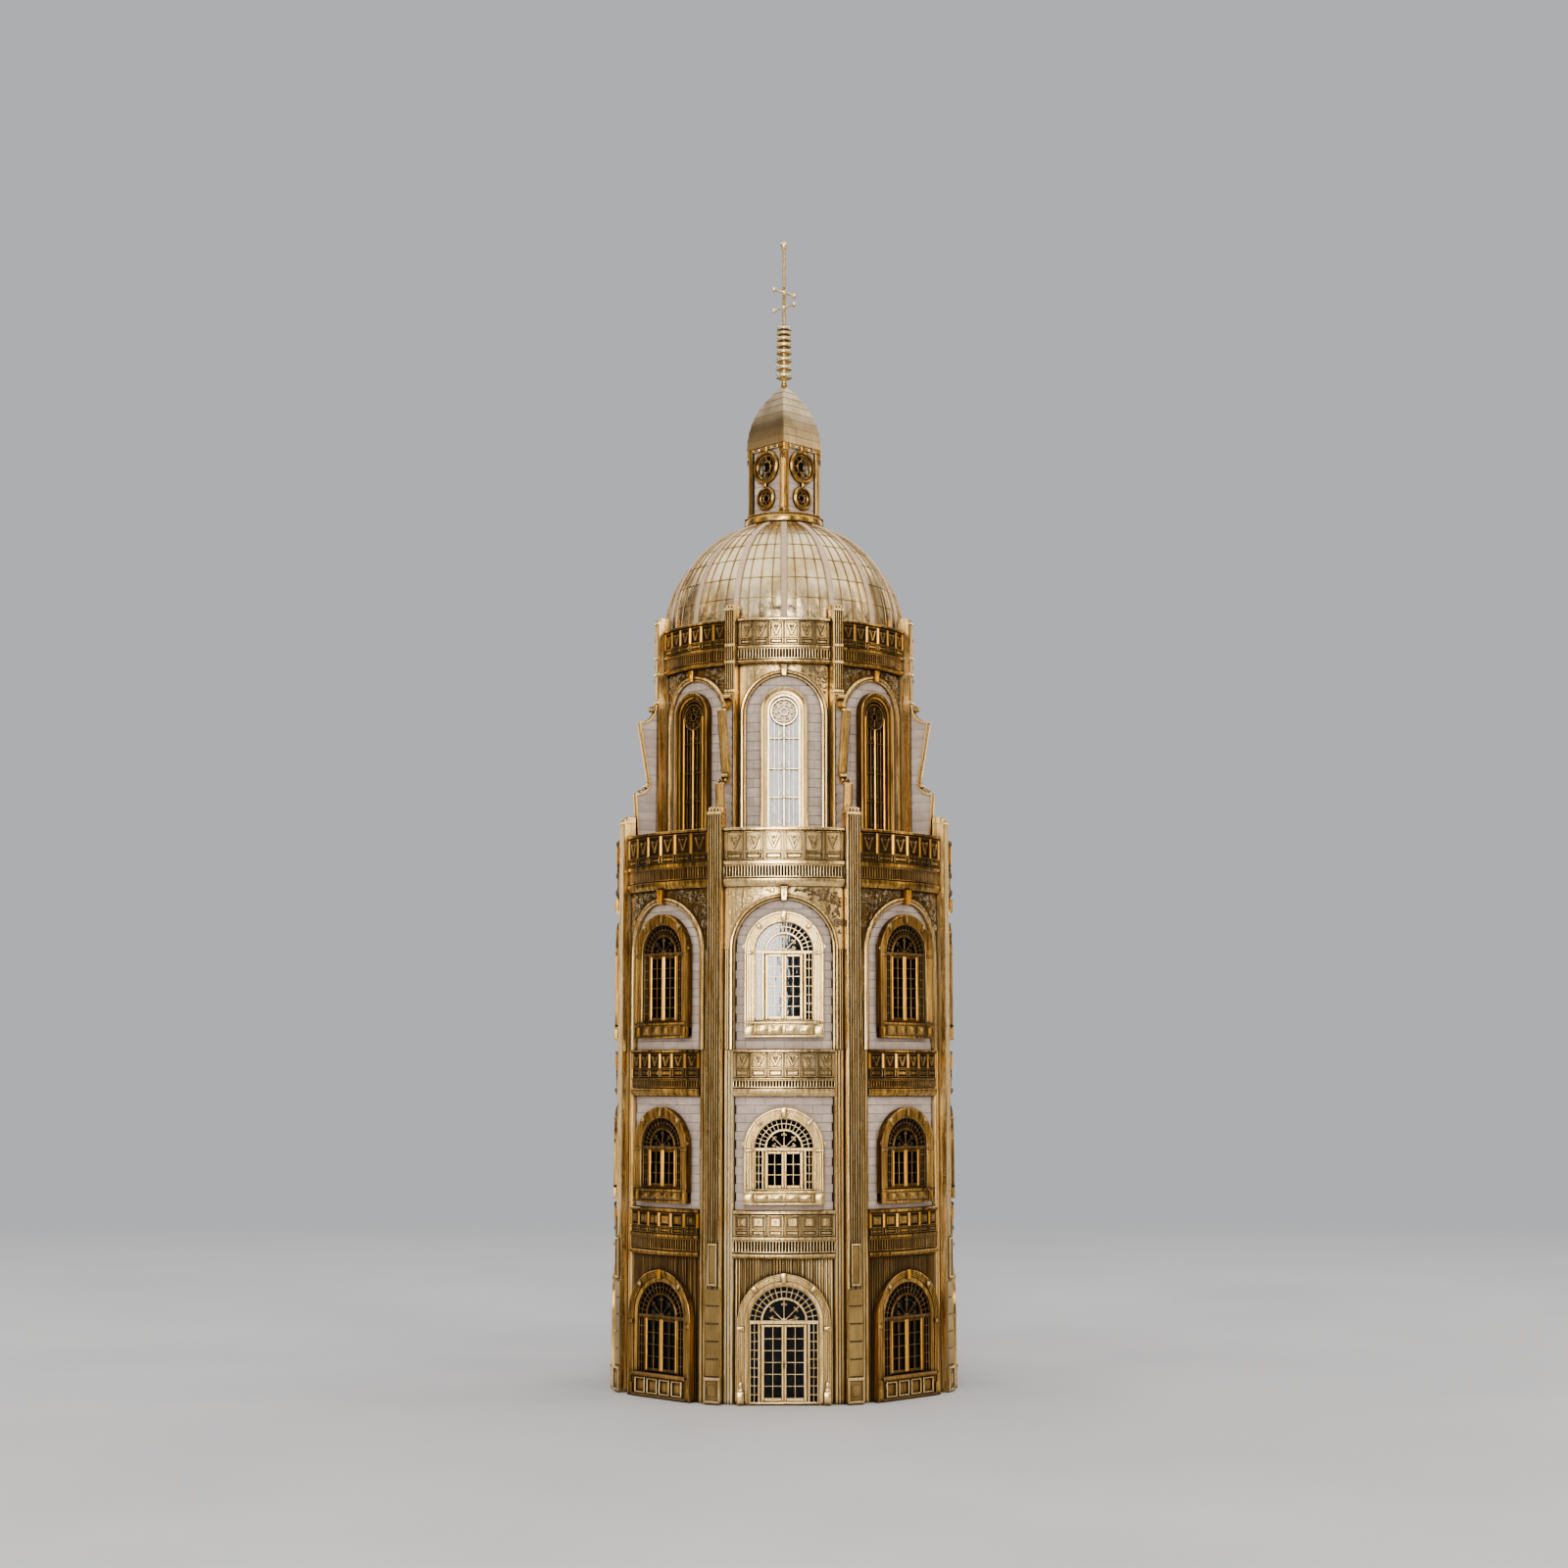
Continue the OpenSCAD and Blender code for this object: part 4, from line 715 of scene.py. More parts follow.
def pane_sheet(w, zb, zs, y, t=0.5, seg=24, hole=None):
    """Arched sheet of glass; hole = (half width, top) leaves room for the opening leaves."""
    pts = [(x, z) for x, z, _, _ in arch_path(w, zb, zs, seg)]
    if hole:
        hw, ht = hole
        g = Geo()
        for s in (-1, 1):
            q = [(s * hw, zb), (s * w, zb), (s * w, ht), (s * hw, ht)]
            g.join(loft([[(x, y - t, z) for x, z in q], [(x, y, z) for x, z in q]]))
        top = [(w, ht)] + [(x, z) for x, z, _, _ in arch_path(w, zs, zs, seg)[1:-1]] + [(-w, ht)]
        g.join(loft([[(x, y - t, z) for x, z in top], [(x, y, z) for x, z in top]]))
        return g
    return loft([[(x, y - t, z) for x, z in pts], [(x, y, z) for x, z in pts]])


Y0, Y1 = LY - LT, LY


def jamb_lining(wo, wi, zb, zs, y0, y1):
    w = wo - wi
    return sweep(arch_path(wi, zb, zs, 32), [(0, y0), (0, y1 - 0.6), (w * 0.3, y1), (w * 0.75, y1), (w * 0.85, y1 - 0.4), (w, y1 - 0.4), (w, y0)])


g = Geo()
g.join(jamb_lining(22.65, 19.7, 14.0, 46.2, 96.5, 101.7))
g.join(fan(19.7, 13.2, 46.2, Y0, Y1))
g.join(side_lights(13.4, 19.7, 14.1, 45, Y0, Y1, 6))
g.join(transom(19.6, 44.8, 46.7, Y0, Y1))
for s in (-1, 1):
    g.join(leaf_frame(s, 0.05, 13.3, 14.6, 44.8, 4, Y0, Y1 - 0.05))
piece("ground_sashes", ring(flat(shallow(g)), SIDE_BAYS), "gilt_amber", replaces=["ground_windows"], inner=("gilt_umber", 100.8))
piece("ground_panes", ring(flat(pane_sheet(19.6, 14.1, 46.2, Y0 - 0.02)), SIDE_BAYS), "glass", replaces=["ground_glass"])

g = block(-22.55, 22.55, 0.05, 13.9, 96.8, 101.4, 0.3)
g.join(block(-22.5, 22.5, 11.8, 13.7, 101.2, 103.2, 0.5))
g.join(block(-22.5, 22.5, 0.1, 1.7, 101.2, 102.9, 0.4))
pf = Geo()
# frames in pale gilt: painted highlights
for k in range(4):
    c = (k - 1.5) * 10.4
    for a, b, z0, z1 in ((-4.4, 4.4, 2.3, 3.0), (-4.4, 4.4, 10.2, 11.2), (-4.4, -3.5, 2.9, 10.3), (3.5, 4.4, 2.9, 10.3)):
        pf.join(block(c + a, c + b, z0, z1, 101.2, 102.7, 0.3))
    g.join(block(c - 2.5, c + 2.5, 4.2, 9.1, 101.2, 101.8, 0.35))
piece("ground_plinths", ring(flat(g), SIDE_BAYS), "gilt_dark", replaces=["ground_sills"])
piece("plinth_frames", ring(flat(pf), SIDE_BAYS), "gilt_light")

g = Geo()
g.join(jamb_lining(22.65, 19.7, 0.05, 46.2, 96.5, 101.7))
g.join(fan(19.7, 13.2, 46.2, Y0, Y1))
g.join(side_lights(13.4, 19.7, 1.0, 45, Y0, Y1, 9))
g.join(transom(19.6, 44.8, 46.7, Y0, Y1))
g.join(block(-19.7, 19.7, 0.05, 1.9, 96.5, 101.2, 0.3))
piece("door_surround", flat(shallow(g)), "gilt_tan", replaces=["door_frame"], inner=("gilt_light", 100.8))
piece("door_surround_panes", flat(pane_sheet(19.6, 1.9, 46.2, Y0 - 0.02, hole=(13.5, 44.9))), "glass", replaces=["door_frame_glass"])


def opening_leaf(tag, s, lx, zb, zt, rows, body, nodes_frame, nodes_glass):
    g = leaf_frame(s, 0.1, lx, zb, zt, rows, Y0, Y1, stile=1.3)
    g.join(tube([(s * lx, (Y0 + Y1) / 2, zb), (s * lx, (Y0 + Y1) / 2, (zb + zt) / 2), (s * lx, (Y0 + Y1) / 2, zt)], 0.78, 16))
    ob = piece("leaf_" + tag, flat(g), "gilt_light", body, nodes_frame)
    lo, hi = sorted((s * 1.2, s * (lx - 1.05)))
    q = loft([[(lo, y, zb + 1.3), (hi, y, zb + 1.3), (hi, y, zt - 1.3), (lo, y, zt - 1.3)] for y in (Y0 + 0.05, Y0 + 0.45)])
    piece("pane_" + tag, flat(q), "glass_three" if tag.startswith("three") else "glass", body, nodes_glass)
    return ob


opening_leaf("door_left", -1, 12.4, 2.2, 44.6, 6, "door_left", ["door_leaf_left"], ["door_glass_left"])
opening_leaf("door_right", 1, 12.4, 2.2, 44.6, 6, "door_right", ["door_leaf_right"], ["door_glass_right"])
opening_leaf("two_left", -1, 10.4, 120, 141, 3, "casement_two_l", ["casement_two_left"], [])
opening_leaf("two_right", 1, 10.4, 120, 141, 3, "casement_two_r", ["casement_two_right"], [])
opening_leaf("three_left", -1, 10.4, 215.6, 253, 6, "casement_three_l", ["casement_three_left"], [])
opening_leaf("three_right", 1, 10.4, 215.6, 253, 6, "casement_three_r", ["casement_three_right"], [])

# ------------------------------------------------------------------ friezes


def panel(cx, hw, z0, z1, y, motif, t=0.95):
    """Raised frame with a motif inside."""
    g = Geo()
    b = 0.55
    for a0, a1, c0, c1 in ((-hw, hw, z0, z0 + b), (-hw, hw, z1 - b, z1), (-hw, -hw + b, z0 + b, z1 - b), (hw - b, hw, z0 + b, z1 - b)):
        g.join(block(cx + a0, cx + a1, c0, c1, y - 0.2, y + t, 0.2))
    zc, hh = (z0 + z1) / 2, (z1 - z0) / 2
    if motif == "v":
        for s in (-1, 1):
            g.join(bar(cx, zc - hh * 0.62, cx + s * hw * 0.52, zc + hh * 0.50, 1.25, y - 0.2, y + t))
            g.join(curl(cx + s * hw * 0.50, zc + hh * 0.50, hw * 0.17, -s * 0.3, 0.9, y + 0.45, 0.36, s, 12))
        g.join(ball((cx, y + 0.35, zc + hh * 0.42), 0.7, 8))
    elif motif == "square":
        g.join(block(cx - hw * 0.66, cx + hw * 0.66, zc - hh * 0.62, zc + hh * 0.62, y - 0.2, y + t + 0.05, 0.5))
        g.join(disc_rosette(cx, zc, hw * 0.30, y + t, 6))
    elif motif == "rect":
        g.join(block(cx - hw * 0.72, cx + hw * 0.72, zc - hh * 0.40, zc + hh * 0.40, y - 0.2, y + t * 0.9, 0.25))
    return g


def frieze(hx_r, R, z, np_, motif, ybase, ypan):
    """z: list of levels. Returns geometry in bay coordinates bent at radius R."""
    m0, m1, f0, f1, p0, p1, p2, rim = z
    hx = hx_r * R
    g = Geo()
    g.join(course([(ybase, m0), (R + 0.6, m0), (R + 1.5, m0 + (m1 - m0) * 0.35), (R + 1.9, m0 + (m1 - m0) * 0.55), (R + 1.9, m1 - 0.4), (R + 1.5, m1), (ybase, m1)], hx))
    # fluted strip: round-headed hollows as a waved grid
    cnt = int(2 * hx / 1.75)
    xs = np.linspace(-hx, hx, cnt * 6 + 1)
    rings_ = []
    for x in xs:
        ph = (x + hx) / (2 * hx) * cnt % 1.0
        dep = 1.1 * max(0.0, sin(pi * min(1, max(0, (ph - 0.15) / 0.7)))) if 0.15 < ph < 0.85 else 0.0
        zs = [f0, f0 + 0.5, f0 + 0.9, (f0 + f1) / 2, f1 - 0.9, f1 - 0.5, f1]
        ds = [0, 0, dep, dep, dep, 0, 0]
        rings_.append([(x, R + 0.9 - d, z_) for z_, d in zip(zs, ds)] + [(x, ybase, f1), (x, ybase, f0)])
    g.join(loft(rings_))
    g.join(course([(ybase, f1), (R + 1.2, f1), (R + 1.7, f1 + 0.5), (R + 1.7, p0 - 0.3), (R + 1.1, p0), (ybase, p0)], hx))
    yp = R + 0.30
    ground = course([(ypan, p0 - 0.02), (yp, p0 - 0.02), (yp, p2 + 0.02), (ypan, p2 + 0.02)], hx)
    w = 2 * hx / np_
    stiles = Geo()
    for k in range(np_):
        cx = (k - (np_ - 1) / 2) * w * 0.985
        g.join(panel(cx, w * 0.43, p0 + 0.35, p1 - 0.15, yp, "rect"))
        g.join(panel(cx, w * 0.43, p1 + 0.15, p2 - 0.3, yp, motif))
    for k in range(np_ + 1):  # upright between one panel and the next
        cx = max(-hx + 0.8, min(hx - 0.8, (k - np_ / 2) * w * 0.985))
        stiles.join(block(cx - 0.78, cx + 0.78, p1 + 0.1, p2 - 0.2, yp - 0.2, yp + 1.35, 0.45))
    g.join(course([(ypan - 0.4, p2), (R + 1.0, p2), (R + 1.8, p2 + 0.45), (R + 1.8, rim - 0.4), (R + 1.4, rim), (ypan - 0.4, rim)], hx))
    return bent(g, R), bent(ground, R), bent(stiles, R)


def band(name, args, node):
    """One band right round: relief, ground and, away from the front, uprights with a painted glint; the side copies are
    painted shaded and the front copy painted lit.
    """
    relief, ground, stiles = frieze(*args)
    bays(name, relief, "gilt_amber", "gilt_light", [node])
    bays(name + "_ground", ground, "gilt_black", "gilt_ground")
    piece(name + "_uprights", ring(stiles, SIDE_BAYS), "gilt_painted_glint")


HF = radians(16.5)  # the first two bands stop at the strips, which run up past them
band("frieze_one", (HF, 101.3, (81, 83.5, 84.3, 91.2, 93.2, 97.2, 105.6, 107.6), 6, "square", 98.6, 98.6), "band_one")
band("frieze_two", (HF, 101.3, (172, 176.2, 176.8, 181.4, 182.4, 187.7, 196.8, 198.4), 6, "v", 98.6, 98.6), "band_two")
band("parapet_lower", (HX, 101.8, (292, 296.6, 297.2, 304.4, 307, 311.8, 324.2, 326.2), 6, "v", 98.6, 101.55), "lower_parapet")
band("parapet_upper", (UHX, 79.1, (426, 428.2, 428.8, 435.2, 437, 441.2, 451.6, 453.4), 6, "v", 75.1, 77.9), "upper_parapet")


# ------------------------------------------------------------------ piers and strips
def fluted(w, y0, y1, z0, z1, n_fl, depth=0.55, steps=12):
    """A pier shaft with n_fl hollow flutes on its face and a chamfer at each arris."""
    xs, ys = [-w / 2], [y1 - 0.5]
    for k in range(n_fl):
        a = -w / 2 + 0.7 + (w - 1.4) * k / n_fl
        b = -w / 2 + 0.7 + (w - 1.4) * (k + 1) / n_fl
        for i in range(steps + 1):
            t = i / steps
            xs.append(a + (b - a) * t)
            ys.append(y1 - depth * sin(pi * min(1, max(0, (t - 0.14) / 0.72))) if 0.14 < t < 0.86 else y1)
    xs.append(w / 2)
    ys.append(y1 - 0.5)
    sec = list(zip(xs, ys)) + [(w / 2, y0), (-w / 2, y0)]
    zs = np.linspace(z0, z1, max(2, int((z1 - z0) / 20)))
    return loft([[(x, y, z) for x, y in sec] for z in zs])


g = Geo()
g.join(fluted(8.9, 98.6, 104.85, 0.1, 334.6, 5, 1.0))
# scroll blocks under the cap
g.join(block(-4.45, 4.45, 333.8, 335.6, 98.6, 105.1, 0.4))
for k in range(4):
    g.join(ball(((k - 1.5) * 2.1, 103.6, 336.3), 1.0, 10, sz=1.4))
g.join(block(-4.5, 4.5, 335.4, 338.0, 98.6, 103.3, 0.5))
g.join(block(-3.9, 3.9, 337.4, 338.4, 98.8, 103.0, 0.3))
piece("piers_lower", ring(flat(push(g)), CORNERS), "gilt_pier", replaces=["lower_piers"])

g = Geo()
g.join(block(-5.2, 5.2, 0.4, 15.1, 104.0, 105.2, 0.35))
pf = Geo()
# frames in pale gilt: painted highlights
for a0, a1, z0, z1 in ((-5.1, 5.1, 0.6, 2.2), (-5.1, 5.1, 13.2, 15.0), (-5.1, -3.9, 2.0, 13.4), (3.9, 5.1, 2.0, 13.4)):
    pf.join(block(a0, a1, z0, z1, 105.0, 106.1, 0.35))
for a0, a1, z0, z1 in ((-2.9, 2.9, 65.6, 66.9), (-2.9, 2.9, 87.9, 89.2), (-2.9, -1.9, 66.7, 88.1), (1.9, 2.9, 66.7, 88.1)):
    pf.join(block(a0, a1, z0, z1, 104.2, 106.15, 0.3))
piece("pier_frames", ring(flat(push(pf)), CORNERS), "gilt_light")
g.join(block(-2.5, 2.5, 4.6, 10.9, 105.0, 105.8, 0.4))
for k in range(5):
    g.join(block(-4.6, 4.6, 15.5 + k * 9.8, 15.5 + k * 9.8 + 9.3, 103.6, 105.3, 0.45))
g.join(block(-1.95, 1.95, 66.8, 88.0, 104.2, 105.6, 0.3))
for s in (-1, 1):
    g.join(curl(s * 1.5, 64.6, 1.2, 0 if s > 0 else pi, 1.1, 104.9, 0.4, s, 16))
    g.join(bar(s * 3.4, 91, s * 3.4, 101.5, 0.9, 104, 105.4))
piece("pier_blocks_detail", ring(flat(push(g)), CORNERS), "gilt_block", replaces=["pier_blocks"])
g = Geo()
for s in (-1, 1):  # near-black strips down the flanks of the piers: painted shade standing for slots
    for z0, z1 in ((92, 101), (158, 168), (218, 226), (246, 257), (150, 153), (274, 280)):
        g.join(bar(s * 3.5, z0, s * 3.5, z1, 0.9, 104.0, 104.75))
piece("pier_slots", ring(flat(push(g)), CORNERS), "core")


def strips(sides):
    """Ribbed strips between the fields and the piers, unbroken past the first two bands."""
    g = Geo()
    for s in sides:
        for z0, z1, xin in ((0.05, 198.5, 28.85), (198.5, 255.9, 31.6)):
            xa, xb = xin, 34.6
            cnt = 3 if xin < 30 else 2
            for k in range(cnt):
                a = xa + (xb - xa) * k / cnt
                b = xa + (xb - xa) * (k + 1) / cnt
                lo, hi = sorted((s * (a + 0.12), s * (b - 0.12)))
                g.join(block(lo, hi, z0, z1, 98.6, 101.5 - 0.3 * (k % 2), 0.4))
            lo, hi = sorted((s * xa, s * xb))
            g.join(block(lo, hi, z0, z1, 98.55, 100.5, 0.1))
    return bent(g, 100)


piece("strips_ribbed", ring(strips((-1, 1)), SIDE_BAYS), "gilt_pier", replaces=["gilt_strips"])
# the front's left strip in the brightest gilt, the right one in paler gilt: painted light falling from the left
piece("strips_front_left", strips((-1,)), "gilt_bright")
piece("strips_front_right", strips((1,)), "gilt_light")


# ------------------------------------------------------------------ stone fields
def masonry(hw, zb, zt, y0, y1, inside, edge, spring, rows_h=5.1, brick=11.0):
    """Coursed blocks, each cut to the field and the window outline by its own cells."""
    g = Geo()
    g2 = []
    nrow = int(round((zt - zb) / rows_h))
    h = (zt - zb) / nrow
    dx = 0.9
    for r in range(nrow):
        z0, z1 = zb + r * h, zb + (r + 1) * h
        off = (r % 2) * brick / 2
        k0 = int(-hw // brick) - 1
        for k in range(k0, -k0 + 1):
            a, b = k * brick + off, (k + 1) * brick + off
            a, b = max(a, -hw), min(b, hw)
            if b - a < 0.8:
                continue
            n_ = max(1, int((b - a) / dx))
            xs = np.linspace(a + 0.08, b - 0.08, n_ + 1)
            xs = np.array(sorted(list(xs) + [x for e_ in (-edge, edge) for x in (e_ - 0.01, e_ + 0.01) if xs[0] < x < xs[-1]]))
            run = []
            for x in xs:
                lo, hi = inside(x)
                segs = []
                q0, q1 = z0 + 0.07, z1 - 0.07
                top = hi
                if lo is None:
                    if q1 > spring:
                        segs.append((1.0, 0.0))
                    segs.append((q0, min(q1, top)))
                else:
                    segs.append((q0, min(q1, lo[0], top)))
                    segs.append((max(q0, lo[1]), min(q1, top)))
                run.append(segs)
            for si in (0, 1):
                cur = []
                for x, segs in zip(xs, run):
                    ok = si < len(segs) and segs[si][1] - segs[si][0] > 0.25
                    if ok:
                        s0, s1 = segs[si]
                        jit = 0.04 * sin(k * 12.9 + r * 78.2)
                        c = min(0.12, (s1 - s0) * 0.3)
                        cur.append([(x, y0, s0), (x, y1 - 0.13 + jit, s0), (x, y1 + jit, s0 + c), (x, y1 + jit, s1 - c), (x, y1 - 0.13 + jit, s1), (x, y0, s1)])
                    if (not ok or x == xs[-1]) and len(cur) > 1:
                        g.join(loft(cur))
                        cur = []
                    elif not ok:
                        cur = []
    return g


def field_fn(half, top_flat, top_arch, wo, wb, ws):
    """For x: (window span hidden, field top)."""
    def fn(x):
        hi = top_flat if top_arch is None else top_arch[0] + sqrt(max(0.0, top_arch[1] ** 2 - x * x))
        if abs(x) < wo:
            return (wb, ws + sqrt(max(0.0, wo * wo - x * x))), hi
        return None, hi
    return fn


g = masonry(28.2, 107.8, 171.8, 98.55, 99.3, field_fn(28.2, 171.8, None, 21.6, 111.6, 142.6), 21.6, 142.6)
piece("masonry_two", ring(bent(g, 99), BAYS), "stone", replaces=["second_stone"])
g = masonry(28.1, 198.6, 284.2, 98.55, 99.3, field_fn(28.1, None, (256, 28.1), 21.6, 206.2, 254.6), 21.6, 254.6)
piece("masonry_three", ring(bent(g, 99), BAYS), "stone", replaces=["third_stone"])
g = masonry(22.5, 308.1, 418.8, 75.05, 75.8, field_fn(22.5, None, (396.2, 22.5), 12.9, 315.2, 397.9), 12.9, 397.9, 5.6, 9.0)
piece("masonry_chamber", ring(bent(g, 75.5), BAYS), "stone", replaces=["chamber_stone"])


# ------------------------------------------------------------------ storey windows
def storey_window(zb, zs, sill, ltop, rows, side_rows, leaves):
    g = Geo()
    g.join(architrave(17.0, 22.9, zb + 6, zs, 98.4, FY))
    g.join(jamb_lining(17.05, 16.9, sill, zs, 94.5, 102.0))
    for d in (45, 135):
        g.join(skew_block(zs, 20.8, d, 2.0, 4.2, 102, 104.4))
        a = radians(d)
        g.join(ball((22.0 * cos(a), 104.0, zs + 22.0 * sin(a)), 1.15, 10, sy=0.8))
    g.join(keystone(zs + 17.6, zs + 22.8, 1.3, 1.8, 100.5, 104.6))
    for s in (-1, 1):
        g.join(block(s * 20.1 - 2.5, s * 20.1 + 2.5, zs - 1.7, zs - 0.5, 102, 104.4, 0.4))
        g.join(curl(s * 23.0, zs + 2.6, 1.3, pi / 2, 1.2, 103.0, 0.42, s, 18))
        g.join(block(s * 20.1 - 2.7, s * 20.1 + 2.7, zb + 0.5, zb + 6.4, 101, 104.5, 0.45))
    g.join(block(-22.9, 22.9, zb, zb + 1.2, 98.6, 104.9, 0.4))
    g.join(block(-17.3, 17.3, zb + 1.0, sill - 1.3, 98.6, 103.6, 0.3))
    g.join(block(-22.9, 22.9, sill - 1.4, sill - 0.05, 98.6, 104.8, 0.45))
    for k in range(4):
        c = (k - 1.5) * 8.2
        g.join(block(c - 3.4, c + 3.4, zb + 1.9, sill - 2.2, 103.4, 104.3, 0.4))
        g.join(block(c - 2.1, c + 2.1, zb + 2.9, sill - 3.2, 104.1, 104.7, 0.3))
    g.join(fan(16.95, 11.0, zs, Y0, Y1))
    g.join(side_lights(11.4, 16.95, sill + 0.4, zs, Y0, Y1, side_rows))
    g.join(transom(16.9, ltop + 0.2, zs + 0.4, Y0, Y1))
    g.join(block(-16.9, 16.9, sill, sill + 1.0, 95, 101.0, 0.3))
    if leaves:
        for s in (-1, 1):
            g.join(leaf_frame(s, 0.05, 11.3, sill + 1.0, ltop + 0.2, rows, Y0, Y1 - 0.05))
    return flat(shallow(g))


for tag, zb, zs, sill, ltop, rows, srows, gnode, fnode in (("two", 110.9, 142.6, 118.8, 141, 3, 5, "second_glass", "second_windows"),
                                                            ("three", 205.3, 254.6, 214.4, 253, 6, 8, "third_glass", "third_windows")):
    g = ring(storey_window(zb, zs, sill, ltop, rows, srows, True), SIDE_BAYS)
    piece("windows_" + tag, g, "gilt_amber", replaces=[fnode], inner=("gilt_umber", 100.8))
    piece("window_" + tag + "_front", storey_window(zb, zs, sill, ltop, rows, srows, False), "gilt_tan" if tag == "two" else "gilt_light", inner=("gilt_light", 100.8))
    piece("panes_" + tag, ring(flat(pane_sheet(16.85, sill + 0.9, zs, Y0 - 0.02)), SIDE_BAYS), "glass", replaces=[gnode])
    piece("panes_" + tag + "_front", flat(pane_sheet(16.85, sill + 0.9, zs, Y0 - 0.02, hole=(11.5, ltop + 0.3))), "glass_three" if tag == "three" else "glass")


# ------------------------------------------------------------------ arches with foliage spandrels
def spandrel(hx, zc, ra, ztop, y0, y1, step=0.8):
    g = Geo()
    for s in (-1, 1):
        xs = np.linspace(0.0, hx, int(hx / step))
        g.join(loft([[(s * x, y0, zc + sqrt(max(0.0, ra * ra - x * x))), (s * x, y1, zc + sqrt(max(0.0, ra * ra - x * x))), (s * x, y1, ztop), (s * x, y0, ztop)] for x in xs]))
    return g


def foliage(hx, zc, ra, ztop, y, k, sides=(-1, 1), lift=1.0):
    """Scrolls and leaves that fill the corner between the arch and the moulding."""
    g = Geo()
    for s in sides:
        rng = np.random.RandomState(7 + (s > 0) * 5 + int(hx))
        put = 0
        for _ in range(900):  # a dense mat of small overlapping leaves
            fx, fz = rng.rand(2)
            cx, cz = fx * hx * 0.97, zc + fz * (ztop - zc)
            a = rng.rand() * 2 * pi
            Lf = (1.9 + 1.6 * rng.rand()) * k
            ex, ez = cx + Lf * cos(a), cz + Lf * sin(a)
            if min(sqrt(cx * cx + (cz - zc) ** 2), sqrt(ex * ex + (ez - zc) ** 2)) < ra + 0.7 * k:
                continue
            if max(cz, ez) > ztop - 0.6 or max(cx, ex) > hx - 0.5 or min(cz, ez) < zc + 4 or min(cx, ex) < 4:
                continue
            g.join(leaf(s * cx, cz, a if s > 0 else pi - a, Lf, Lf * 0.24, y - 0.12, 0.75 * k * lift))
            put += 1
            if put >= 62:
                break
        for i, (fx, fz, r) in enumerate(((0.86, 0.80, 2.6), (0.62, 0.90, 1.6), (0.90, 0.42, 1.9), (0.45, 0.95, 1.0))):
            cx, cz = s * fx * hx, zc + fz * (ztop - zc)
            if sqrt(cx * cx + (cz - zc) ** 2) < ra + r * k + 0.5 or cz + r * k > ztop - 0.3:
                r *= 0.6
            if sqrt(cx * cx + (cz - zc) ** 2) < ra + r * k + 0.2:
                continue
            r *= k
            if lift < 0.6:  # relief kept low and plain here, under the painted highlight of the pale gilt
                continue
            g.join(curl(cx, cz, r, pi / 2 * (1 + s) + i, 1.35, y, 0.42 * k, s * (1 if i % 2 else -1), 26))
            for j in range(5):
                a = j * 2 * pi / 5 + i
                g.join(leaf(cx + r * 0.75 * cos(a), cz + r * 0.75 * sin(a), a + 0.5 * s, r * 0.75, r * 0.26, y - 0.1, 0.6))
    return g


def arch_ring(ri, ro, zb, zs, y0, y1, seg=40):
    w = ro - ri
    return sweep(arch_path(ri, zb, zs, seg), [(0, y0), (0, y1 - 0.9), (w * 0.25, y1 - 0.5), (w * 0.4, y1 - 0.9), (w * 0.55, y1 - 0.2), (w * 0.8, y1), (w, y1 - 0.5), (w, y0)])


hx3 = HX * 100
g = spandrel(hx3, 256, 31.1, 291.9, 98.6, 101.0)
piece("foliage_three", ring(bent(foliage(hx3, 256, 31.4, 291.9, 101.1, 1.0), 100), SIDE_BAYS), "gilt_dark")
# the front spandrel's left half: pale gilt over low relief, a painted highlight
piece("foliage_three_left", bent(foliage(hx3, 256, 31.4, 291.9, 101.1, 1.0, (-1,), 0.3), 100), "gilt_light")
piece("foliage_three_right", bent(foliage(hx3, 256, 31.4, 291.9, 101.1, 1.0, (1,)), 100), "gilt_dark")
bays("spandrels_three", bent(g, 100), "gilt_umber", "gilt_light", ["third_arches"])
bays("arches_three", bent(arch_ring(28.25, 31.25, 198.6, 256, 98.6, 102.4), 100), "gilt_pier", "gilt_light")
bays("keystones_three", flat(keystone(283.4, 291.8, 1.6, 2.4, 99.7, 104.0)), "gilt_painted_glint", "gilt_light")

hxu = UHX * 76.5
g = spandrel(hxu, 396.2, 25.9, 425.9, 75.1, 77.3)
piece("foliage_chamber", ring(bent(foliage(hxu, 396.2, 26.0, 425.9, 77.35, 0.75), 76.5), SIDE_BAYS), "gilt_dark")
# the front spandrel's left half: pale gilt over low relief, a painted highlight
piece("foliage_chamber_left", bent(foliage(hxu, 396.2, 26.0, 425.9, 77.35, 0.75, (-1,), 0.3), 76.5), "gilt_light")
piece("foliage_chamber_right", bent(foliage(hxu, 396.2, 26.0, 425.9, 77.35, 0.75, (1,)), 76.5), "gilt_dark")
bays("spandrels_chamber", bent(g, 76.5), "gilt_umber", "gilt_light", ["chamber_arches"])
g = Geo()
for s in (-1, 1):  # narrow pilaster strip beside the arch moulding
    lo, hi = sorted((s * 25.6, s * hxu))
    g.join(block(lo, hi, 308.1, 396.2, 75.1, 77.4, 0.2))
gb_ = bent(g, 76.5)
gb_.join(bent(arch_ring(22.65, 25.9, 308.1, 396.2, 75.1, 78.3), 76.5))
bays("arches_chamber", gb_, "gilt_pier", "gilt_light")
bays("keystones_chamber", flat(keystone(418.6, 425.3, 1.4, 2.0, 76.2, 79.8)), "gilt_painted_glint", "gilt_light")

